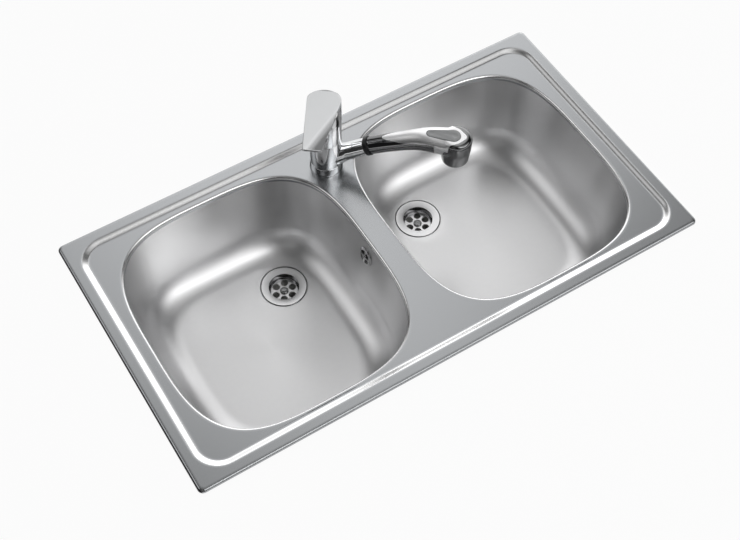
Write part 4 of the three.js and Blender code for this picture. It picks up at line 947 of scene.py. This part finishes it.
class SINK_OT_wastes(bpy.types.Operator):
    """Make the basket wastes with their drilled grids and screws"""

    bl_idname = "sink.wastes"
    bl_label = "Wastes"

    def execute(self, context):
        soft = context.scene.sink_sizes.soft_edge
        drill = ring_tree("Ring of holes", "DIFFERENCE")
        low = -CUP_DEPTH
        basket = [
            (0, low), (CUP_R - 2, low, 1.5), (CUP_R, low + 2, 1.5), (CUP_R, 1.3, 0.6),
            (FLANGE_R - 1, SEAT_DROP + 0.3, soft), (FLANGE_R, SEAT_DROP - 0.4, soft),
            (FLANGE_R - 0.4, GAP), (WASTE_HOLE_R, GAP), (CUP_R + 1, -1.8), (CUP_R + 1, low + 2.6),
            (CUP_R - 2.6, low - 1), (0, low - 1),
        ]
        seat, top = low + GAP, low + GAP + 2.2  # under and on the screw's head
        dip = low + 1.8  # the bottom of the dip in its head
        screw = [(0, low - 20), (GRID_SCREW_R, low - 20), (GRID_SCREW_R, seat), (6.5, seat, 0.3),
                 (6.5, seat + 1, 0.8), (5, top, 0.6), (4, top, 0.4), (3.6, dip, 0.4), (0, dip)]
        for side, name in ((-1, "left"), (1, "right")):
            place = Matrix.Translation((side * WASTE[0], WASTE[1], BOWL_FLOOR - SEAT_DROP))
            piece = spun(f"{name}_basket", basket)
            hole = drum("hole", GRID_HOLE_R, -4, 4, segments=40)
            with_ring(piece, drill, hole, GRID_HOLES, GRID_CIRCLE_R, 0, low, "waste steel")
            cut(piece, drum("hole", GRID_SCREW_R + GAP, low - 4, low + 4))
            mark_satin(piece, Vector((0, 0, 1)), 0.9)
            dressed(piece, "sink", "polished_steel", [f"{name}_waste_flange"], place, "waste steel")
            piece = crossed(spun(f"{name}_basket_screw", screw, 3, 48), dip)
            # the screw takes the chrome with painted shade
            dressed(piece, "sink", "polished_steel", [f"{name}_waste_screw"], place, "dark chrome")
        return {"FINISHED"}


def crossed(piece, top):
    """Cuts a cross recess into a screw's head."""
    long, narrow, depth = CROSS
    for a, b in ((long, narrow), (narrow, long)):
        cut(piece, prism("slot", rectangle(-a, a, -b, b), top - depth, top + 1))
    return piece


class SINK_OT_overflow(bpy.types.Operator):
    """Make the overflow's slotted rosette and its screw"""

    bl_idname = "sink.overflow"
    bl_label = "Overflow"

    def execute(self, context):
        place = overflow_place()
        piece = spun("overflow_cover", [
            (0, GAP), (ROSETTE_R, GAP), (ROSETTE_R, GAP + 0.8, 0.4),
            (ROSETTE_R - 3, GAP + ROSETTE_T, 2), (0, GAP + ROSETTE_T)])
        half = (360 / ROSETTE_SLOTS - ROSETTE_SPOKE) / 2
        sector = arc(0, 0, ROSETTE_SLOT_R, -half, half, 8) + arc(0, 0, ROSETTE_HUB_R, half, -half, 5)
        slot = prism("slot", soften([(*p, 0.6) for p in sector], 2), -3, 3)
        moved(slot, -ROSETTE_HUB_R, 0, 0)
        ring = ring_tree("Ring of slots", "DIFFERENCE")
        with_ring(piece, ring, slot, ROSETTE_SLOTS, ROSETTE_HUB_R, 45, 1, "polished steel")
        shank, head = ROSETTE_SCREW
        cut(piece, drum("hole", shank + GAP, -1, 5))
        dressed(piece, "sink", "polished_steel", ["overflow_rosette"], place)
        base = 2 * GAP + ROSETTE_T
        top = base + head
        screw = [(0, -20), (shank, -20), (shank, base), (4, base, 0.2), (4, base + 0.8, 0.6),
                 (2.8, top, 0.4), (0, top)]
        piece = crossed(spun("overflow_cover_screw", screw, 3, 48), top)
        dressed(piece, "sink", "polished_steel", ["overflow_screw"], place)
        return {"FINISHED"}


# ---- the tap
class SINK_OT_column(bpy.types.Operator):
    """Make the tap's base, its body and the cartridge's dome"""

    bl_idname = "sink.column"
    bl_label = "Tap column"

    def execute(self, context):
        soft = context.scene.sink_sizes.soft_edge
        top = JOINT - GAP
        foot = BASE_LEDGE + GAP
        hollow, ceiling = BASE_HOLLOW
        bore, floor = BODY_BORE
        seat, shoulder = CARTRIDGE_BORE
        for name, node, corners in (
            ("column_base", "tap_base", [
                (BASE_BORE, ceiling), (hollow, ceiling), (hollow, GAP), (BASE_R, GAP, soft),
                (BASE_R, 2.5, 1.5), (COLUMN_R, BASE_TOP, soft), (CORE_R + GAP, BASE_TOP),
                (CORE_R + GAP, BASE_LEDGE), (BASE_BORE, BASE_LEDGE)]),
            ("column_body", "tap_body", [
                (bore, foot), (CORE_R, foot), (CORE_R, COLLAR_TOP + GAP),
                (COLUMN_R, COLLAR_TOP + GAP, soft), (COLUMN_R, top, 0.8), (NUT_BORE, top),
                (NUT_BORE, shoulder), (seat, shoulder), (seat, floor), (bore, floor)]),
            ("column_dome", "cartridge_dome", [
                (11, JOINT + 4.8), (18.4, JOINT), (20, JOINT, 0.4), (19, JOINT + 2.6, 2),
                (16, JOINT + 4.8, 2), (11, JOINT + 6, 0.4)]),
        ):
            dressed(spun(name, corners), "sink", "chrome", [node], TAP)
        return {"FINISHED"}


def on_spout():
    """From the spout tube's own axis to the spout's frame."""
    place = Matrix.Translation((CORE_R, 0, SPOUT_ROOT))
    return place @ Matrix.Rotation(math.pi / 2 - SPOUT_RISE, 4, "Y")


class SINK_OT_spout(bpy.types.Operator):
    """Make the swivelling collar with its rising tube, and the ring that docks the spray"""

    bl_idname = "sink.spout"
    bl_label = "Spout"

    def execute(self, context):
        soft = context.scene.sink_sizes.soft_edge
        low, high = BASE_TOP + GAP, COLLAR_TOP
        collar = spun("swivel_spout", [
            (GLIDE_R, low, 0.2), (COLUMN_R, low, soft), (COLUMN_R, high, soft), (GLIDE_R, high, 0.2)])
        arm = turned(spun("arm", [(0, 0), (TUBE_R + 4, 0), (TUBE_R + 2.4, 4, 8), (TUBE_R, 16, 30),
                                  (TUBE_R, TUBE_END, soft), (0, TUBE_END)], 8), on_spout())
        joined(collar, cut(arm, drum("core", GLIDE_R, low - 30, high + 20)))
        cut(collar, turned(drum("way", TUBE_BORE, -6, TUBE_END + 1), on_spout()))
        dressed(collar, "spout", "chrome", ["spout_arm"], SPOUT)
        start = TUBE_END + GAP
        ring = tube("docking_band", RING_R, NECK_R + 0.4, start, start + RING_WIDTH, 0.8)
        dressed(turned(ring, on_spout()), "spout", "black_plastic", ["docking_ring"], SPOUT)
        return {"FINISHED"}


# the grip's stations: its way to the head's axis and its climb to the head's top, as shares, then
# its half width and half thickness in tube radii, and the power of its section
GRIP = [
    (0, 0, 1, 1, 2), (0.204, 0.248, 1.03, 1.015, 2), (0.393, 0.449, 1.08, 1.06, 2),
    (0.532, 0.583, 1.155, 1.14, 2.1), (0.655, 0.655, 1.31, 1.14, 2.4), (0.811, 0.67, 1.5, 1.06, 2.9),
    (1, 0.65, 1.7, 1.08, 3.2),
]


def seen_at(way, climb):
    """A point seen from the side, in the spout's frame."""
    start = on_spout() @ Vector((0, 0, GRIP_START))
    return start.x + way * (HEAD - start.x), start.z + climb * (HEAD_TOP - start.z)


def spline(rows, t):
    """A smooth curve through rows of numbers, at t from 0 to 1."""
    at = t * (len(rows) - 1)
    k = min(int(at), len(rows) - 2)
    u = at - k
    near = rows[max(k - 1, 0)], rows[k], rows[k + 1], rows[min(k + 2, len(rows) - 1)]
    return [0.5 * (2 * b + (c - a) * u + (2 * a - 5 * b + 4 * c - d) * u * u
                   + (3 * b - a - 3 * c + d) * u ** 3) for a, b, c, d in zip(*near)]


def spray_body(sizes):
    """Grip and head as one blended solid, in the spout's frame."""
    rows = [(*seen_at(*row[:2]), row[2] * TUBE_R, row[3] * TUBE_R, row[4]) for row in GRIP]
    rings = []
    for i in range(BODY_RINGS + 1):
        t = i / BODY_RINGS
        x, z, wide, thick, power = spline(rows, t)
        ahead, behind = spline(rows, min(1, t + 0.01)), spline(rows, max(0, t - 0.01))
        way = Vector((ahead[0] - behind[0], 0, ahead[1] - behind[1])).normalized()
        if i == 0:
            way = Vector((math.cos(SPOUT_RISE), 0, math.sin(SPOUT_RISE)))
        up = Vector((-way.z, 0, way.x)) * thick
        middle, across = Vector((x, 0, z)), Vector((0, wide, 0))
        rings.append([middle + up * squared(s, power) + across * squared(c, power)
                      for c, s in arc(0, 0, 1, 0, 360, BODY_POINTS)[:-1]])
    body = loft("spray_body", rings)
    head = spun("head", [
        (0, HEAD_LOW), (OUTLET_R, HEAD_LOW, 1.2), (HEAD_R - 0.6, (HEAD_LOW + HEAD_TOP) / 2, 20),
        (HEAD_R, HEAD_TOP, HEAD_EDGE), (0, HEAD_TOP)], 8)
    joined(body, moved(head, HEAD, 0, 0))
    modified(body, "REMESH", mode="VOXEL", voxel_size=sizes.voxel)
    return modified(body, "SMOOTH", factor=0.5, iterations=sizes.blend)


# the lines, as shares seen from the side, where the satin shell meets the chrome
UNDER_LINE = [(0.056, 2.5), (0.056, 0.445), (0.22, 0.569), (0.393, 0.641), (0.672, 0.83), (0.752, 0.85),
              (0.782, -0.365), (0.782, -1.3)]
FRONT_LINE = [(0.868, -1.3), (0.835, 0.22), (0.86, 0.6), (0.89, 0.8), (0.905, 0.95), (0.915, 1.3),
              (2.5, 1.3)]
# the front of the satin shell seen from above, from the head's axis: a rounded bow
BOW = [(16, 0, 6), (4, 12.5, 14), (-8, 18, 8), (-13, 24), (-30, 24), (-30, -24), (-13, -24),
       (-8, -18, 8), (4, -12.5, 14)]
BOW_DEPTH = 13


def pad_outline(margin):
    lean = math.degrees(math.acos((PAD_NOSE[1] - PAD_TAIL[1]) / (PAD_NOSE[0] - PAD_TAIL[0])))
    return (arc(PAD_NOSE[0], 0, PAD_NOSE[1] + margin, lean - 180, 180 - lean, 32)
            + arc(PAD_TAIL[0], 0, PAD_TAIL[1] + margin, 180 - lean, 180 + lean, 18))


def head_region(width):
    """What belongs to the chrome head: all in front of its line, save the shell's bow on top."""
    region = slab("region", [seen_at(*point) for point in FRONT_LINE + [(2.5, -1.3)]], width)
    bow = prism("bow", soften(BOW), HEAD_TOP - BOW_DEPTH, HEAD_TOP + width)
    return cut(region, moved(bow, HEAD, 0, 0))


class SINK_OT_spray(bpy.types.Operator):
    """Make the pull-out spray: satin shell, chrome tube and head, nozzles and mode pad"""

    bl_idname = "sink.spray"
    bl_label = "Spray"

    def execute(self, context):
        sizes = context.scene.sink_sizes
        wide = 4 * HEAD_R
        under = [seen_at(*point) for point in UNDER_LINE + [(-1, -1.3), (-1, 2.5)]]
        body = spray_body(sizes)
        recess = drum("recess", OUTLET_R - 1.8, HEAD_LOW - 2, HEAD_LOW + RECESS, 0.2)
        cut(body, moved(recess, HEAD, 0, 0))
        lower = combined(copied(body, "spray_tube_lower"), slab("region", under, wide), "INTERSECT")
        joined(lower, turned(drum("neck", NECK_R, NECK_START, GRIP_START + 4, 0.4), on_spout()))
        # the tube and the head take the chrome with painted shade
        dressed(lower, "spray", "chrome", ["spray_tube"], SPOUT, "dark chrome")
        head = combined(copied(body, "spray_head_front"), head_region(wide), "INTERSECT")
        dressed(head, "spray", "chrome", ["spray_head"], SPOUT, "dark chrome")
        shell = cut(cut(body, slab("region", under, wide)), head_region(wide))
        shell.name = "spray_shell_satin"
        cut(shell, prism("recess", pad_outline(PAD_MARGIN), PAD_TOP - PAD_T - PAD_PLAY, PAD_TOP + 20))
        dressed(shell, "spray", "satin_chrome", ["spray_shell"], SPOUT, "satin shell")

        pad = modified(prism("mode_pad", pad_outline(0), PAD_TOP - PAD_T, PAD_TOP), "BEVEL",
                       width=0.9, segments=3, limit_method="ANGLE")
        for reach, radius in (PAD_TAIL, PAD_NOSE):
            hollow = arc(0, PAD_TOP - DIMPLE_DEPTH + DIMPLE_R, DIMPLE_R, -90, -68, 8)
            dimple = lathe("dimple", hollow + [(0, PAD_TOP + 0.5)], 48)
            cut(pad, moved(dimple, reach + radius / 5, 0, 0))
        dressed(pad, "mode_pad", "grey_plastic", ["spray_pad"], SPOUT)

        outlet = SPOUT @ Matrix.Translation((HEAD, 0, HEAD_LOW))
        ring = ring_tree("Ring of nozzles", "UNION")
        plate = tube("nozzle_disc", OUTLET_R - 2.1, AERATOR_R + GAP, 1, RECESS - GAP, 0.4)
        nozzle = drum("nozzle", NOZZLE_R, -0.7, 0.7, segments=20)
        with_ring(plate, ring, nozzle, NOZZLES, NOZZLE_CIRCLE_R, 0, 0.9, "black plastic")
        dressed(plate, "spray", "black_plastic", ["nozzle_plate"], outlet)
        core = spun("aerator_core", [
            (0, 1.2), (AERATOR_R - 2, 1.2, 0.3), (AERATOR_R - 1.6, 0.4), (AERATOR_R, 0.4, 0.3),
            (AERATOR_R, RECESS - GAP), (0, RECESS - GAP)], 3, 64)
        dressed(core, "spray", "grey_plastic", ["aerator"], outlet)
        return {"FINISHED"}


def lever_top(x):
    """Height of the lever's top face, at a reach from the tap's axis."""
    return LEVER_TOP + x * LEVER_SLOPE


def lever_under(x):
    """Height of its plate's underside."""
    t = (x - LEVER_CAP_R) / (LEVER_LENGTH - LEVER_CAP_R)
    return lever_top(x) - (LEVER_ROOT_T + (LEVER_TIP_T - LEVER_ROOT_T) * t)


class SINK_OT_lever(bpy.types.Operator):
    """Make the lever with its cap, sloping plate and index plug"""

    bl_idname = "sink.lever"
    bl_label = "Lever"

    def execute(self, context):
        out = LEVER_CAP_R + 1
        rim = JOINT + GAP
        side = slab("side", [(-out, rim + out * LEVER_BACK), (0, rim), (out, rim), (out, lever_top(out)),
                             (-out, lever_top(-out))], 2 * out)
        cap = drum("lever_body", LEVER_CAP_R, rim - 1, lever_top(out) + 2)
        handle = combined(cap, side, "INTERSECT")

        lean = math.degrees(math.acos((LEVER_CAP_R - LEVER_TIP_HALF) / LEVER_LENGTH))
        cx, cy = LEVER_LENGTH - LEVER_CORNER, LEVER_TIP_HALF - LEVER_CORNER
        outline = (arc(0, 0, LEVER_CAP_R, lean, 360 - lean, 64)
                   + arc(cx, -cy, LEVER_CORNER, -lean, 0, 5) + arc(cx, cy, LEVER_CORNER, 0, lean, 5))
        far = LEVER_LENGTH + 1
        plate = prism("plate", outline, rim, lever_top(far) + 1)
        below = [(x, lever_under(x)) for x in (21, 33, far)]
        side = slab("side", [(0, lever_top(0) - LEVER_ROOT_T), *below, (far, lever_top(far)),
                             (0, lever_top(0))], 90)
        joined(handle, combined(plate, side, "INTERSECT"))
        foot = curve(Vector((23.5, lever_under(24) - 9)), Vector((24, lever_under(24))),
                     Vector((33, lever_under(33))), 8)
        joined(handle, slab("gusset", [(15, foot[0][1]), *foot, (15, foot[-1][1])], LEVER_CAP_R))
        modified(handle, "BEVEL", width=0.7, segments=3, limit_method="ANGLE",
                 angle_limit=math.radians(40))
        cut(handle, drum("cavity", LEVER_CAVITY_R, rim - 3, JOINT + 14))
        front = Matrix.Translation((0, 0, INDEX_HEIGHT)) @ Matrix.Rotation(math.pi / 2, 4, "Y")
        cut(handle, turned(drum("seat", INDEX_R + GAP, LEVER_CAP_R - 2.3, out), front))
        mark_satin(handle, Vector((-LEVER_SLOPE, 0, 1)).normalized(), 0.99)
        dressed(handle, "lever", "satin_chrome", ["lever_handle"], LEVER, "lever chrome", 20)
        index = turned(drum("lever_index", INDEX_R, LEVER_CAP_R - 2, LEVER_CAP_R - GAP, 0.3, 48), front)
        dressed(index, "lever", "index_red", ["index_plug"], LEVER)
        return {"FINISHED"}


# ---- the stage
def soft_box(name, place, aim, size, power):
    """A rectangular studio lamp that faces a point."""
    data = bpy.data.lights.new(name, "AREA")
    data.shape = "RECTANGLE"
    data.size, data.size_y = size
    data.energy = power
    lamp = placed(name, data)
    lamp.location = place
    lamp.rotation_euler = (Vector(aim) - Vector(place)).to_track_quat("-Z", "Y").to_euler()


# the studio's soft lights and dark cards: direction, half angles of the full part and of its
# fading edge in degrees, strength
STUDIO = [
    ((0.42, 0.61, 0.67), 13, 32, 1.35),  # over the back: bowl floors and deck
    ((0.22, 0.0, 0.98), 8, 30, 0.3),  # overhead: the bowls' back fillets
    ((0.62, 0.14, 0.77), 10, 25, -1.1),  # dark card at the right
    ((0.0, -0.54, 0.84), 5, 9, 3.0),  # strip at the front: the tap's bright band
    ((0.18, -0.52, 0.84), 4, 8, 1.8),
    ((0.60, -0.53, 0.60), 4, 20, 1.0),  # streaks on the back walls
    ((-0.61, -0.44, 0.66), 4, 14, 0.4),
    ((0.29, -0.74, 0.61), 8, 26, 1.3),  # the back walls, by way of the bowls' floors
    ((0.85, 0.48, 0.22), 12, 34, 1.1),  # low lights: the steps' bright lines
    ((0.25, 0.95, 0.15), 12, 34, 1.0),
    ((-0.58, 0.46, 0.67), 8, 24, 1.1),
]
STUDIO_DIM = 0.03
STUDIO_DARKEST = 0.02
LAMP = ((0.9, -0.7, 1.9), (0, 0, 0), (1.8, 1.8), 4)  # overhead: its place, aim, sides and power
WHITE = (1, 1, 1, 1)
STUDIO_BACKDROP = 0.95  # how white the world is to the eye alone


def studio(scene):
    """A dim world with a few wide soft lights in it."""
    world = bpy.data.worlds.new("studio")
    scene.world = world
    world.use_nodes = True
    tree = world.node_tree
    way = tree.nodes.new("ShaderNodeTexCoord").outputs["Generated"]
    level = Value(tree, STUDIO_DIM)
    for direction, full, edge, strength in STUDIO:
        dot = add_node(tree, "ShaderNodeVectorMath", {"operation": "DOT_PRODUCT"})
        plug(tree, dot.inputs[0], way)
        plug(tree, dot.inputs[1], Vector(direction).normalized())
        outer, inner = (math.cos(math.radians(angle)) for angle in (edge, full))
        level = level + Value(tree, dot.outputs["Value"]).between(outer, inner) * strength
    seen = Value(tree, tree.nodes.new("ShaderNodeLightPath").outputs["Is Camera Ray"])
    level = level.math("MAXIMUM", level, seen * STUDIO_BACKDROP + STUDIO_DARKEST)
    sky = tree.nodes["Background"].inputs
    plug(tree, sky["Color"], WHITE)
    plug(tree, sky["Strength"], level)


class SINK_OT_stage(bpy.types.Operator):
    """Set the white worktop, the lamps, the world and the camera"""

    bl_idname = "sink.stage"
    bl_label = "Stage"

    def execute(self, context):
        scene = context.scene
        look, sizes = scene.sink_finishes, scene.sink_sizes
        half = sizes.floor_size / 2 / MM
        square = [Vector((x, y, WORKTOP[2])) for x, y in rectangle(-half, half, -half, half)]
        floor = new_object("worktop", *flat_fill(square, [rim_ring(*WORKTOP)]))
        floor.data.transform(Matrix.Scale(MM, 4))
        finish = Finish("worktop white")
        finish.set(Base_Color=look.floor, Roughness=0.9, Specular_IOR_Level=0.0)
        light = finish.node("ShaderNodeEmission", Color=WHITE, Strength=1.0)
        rays = finish.node("ShaderNodeLightPath").outputs
        seen = (Value(finish.tree, rays["Is Camera Ray"]) + Value(finish.tree, rays["Is Glossy Ray"])
                + Value(finish.tree, rays["Is Transmission Ray"]))
        mix = finish.node("ShaderNodeMixShader")
        end = finish.tree.nodes["Material Output"].inputs["Surface"]
        for slot, value in zip((*mix.inputs, end), (seen * look.floor_glow, finish.shader.outputs[0],
                                                    light.outputs[0], mix.outputs[0])):
            plug(finish.tree, slot, value)
        floor.data.materials.append(finish.material)

        studio(scene)
        soft_box("overhead", *LAMP)

        camera = placed("camera", bpy.data.cameras.new("camera"))
        camera.data.lens, camera.data.sensor_width = LENS, SENSOR
        flat = math.cos(ELEVATION)
        back = Vector((-math.sin(AZIMUTH) * flat, -math.cos(AZIMUTH) * flat, math.sin(ELEVATION)))
        camera.location = AIM + back * DISTANCE
        aimed = (-back).to_track_quat("-Z", "Y").to_matrix().to_4x4()
        camera.rotation_euler = (aimed @ Matrix.Rotation(ROLL, 4, "Z")).to_euler()
        scene.camera = camera
        scene.view_settings.view_transform = "Standard"
        return {"FINISHED"}


# ---- add-on
OPERATORS = (
    SINK_OT_finishes, SINK_OT_deck, SINK_OT_bowls, SINK_OT_wastes, SINK_OT_overflow,
    SINK_OT_column, SINK_OT_spout, SINK_OT_spray, SINK_OT_lever, SINK_OT_stage,
)


class SINK_PT_panel(bpy.types.Panel):
    """The sink's settings and steps"""

    bl_label = "Sink"
    bl_idname = "SINK_PT_panel"
    bl_space_type = "VIEW_3D"
    bl_region_type = "UI"
    bl_category = "Sink"

    def draw(self, context):
        for group in (context.scene.sink_sizes, context.scene.sink_finishes):
            box = self.layout.box()
            for name in group.__annotations__:
                box.prop(group, name)
        for operator in OPERATORS:
            self.layout.operator(operator.bl_idname)


CLASSES = (SinkSizes, SinkFinishes, *OPERATORS, SINK_PT_panel)


def register():
    for item in CLASSES:
        bpy.utils.register_class(item)
    bpy.types.Scene.sink_sizes = bpy.props.PointerProperty(type=SinkSizes)
    bpy.types.Scene.sink_finishes = bpy.props.PointerProperty(type=SinkFinishes)


def unregister():
    del bpy.types.Scene.sink_sizes
    del bpy.types.Scene.sink_finishes
    for item in reversed(CLASSES):
        bpy.utils.unregister_class(item)


def main():
    register()
    for operator in OPERATORS:
        group, step = operator.bl_idname.split(".")
        getattr(getattr(bpy.ops, group), step)()
    bpy.context.view_layer.update()


if __name__ == "__main__":
    main()
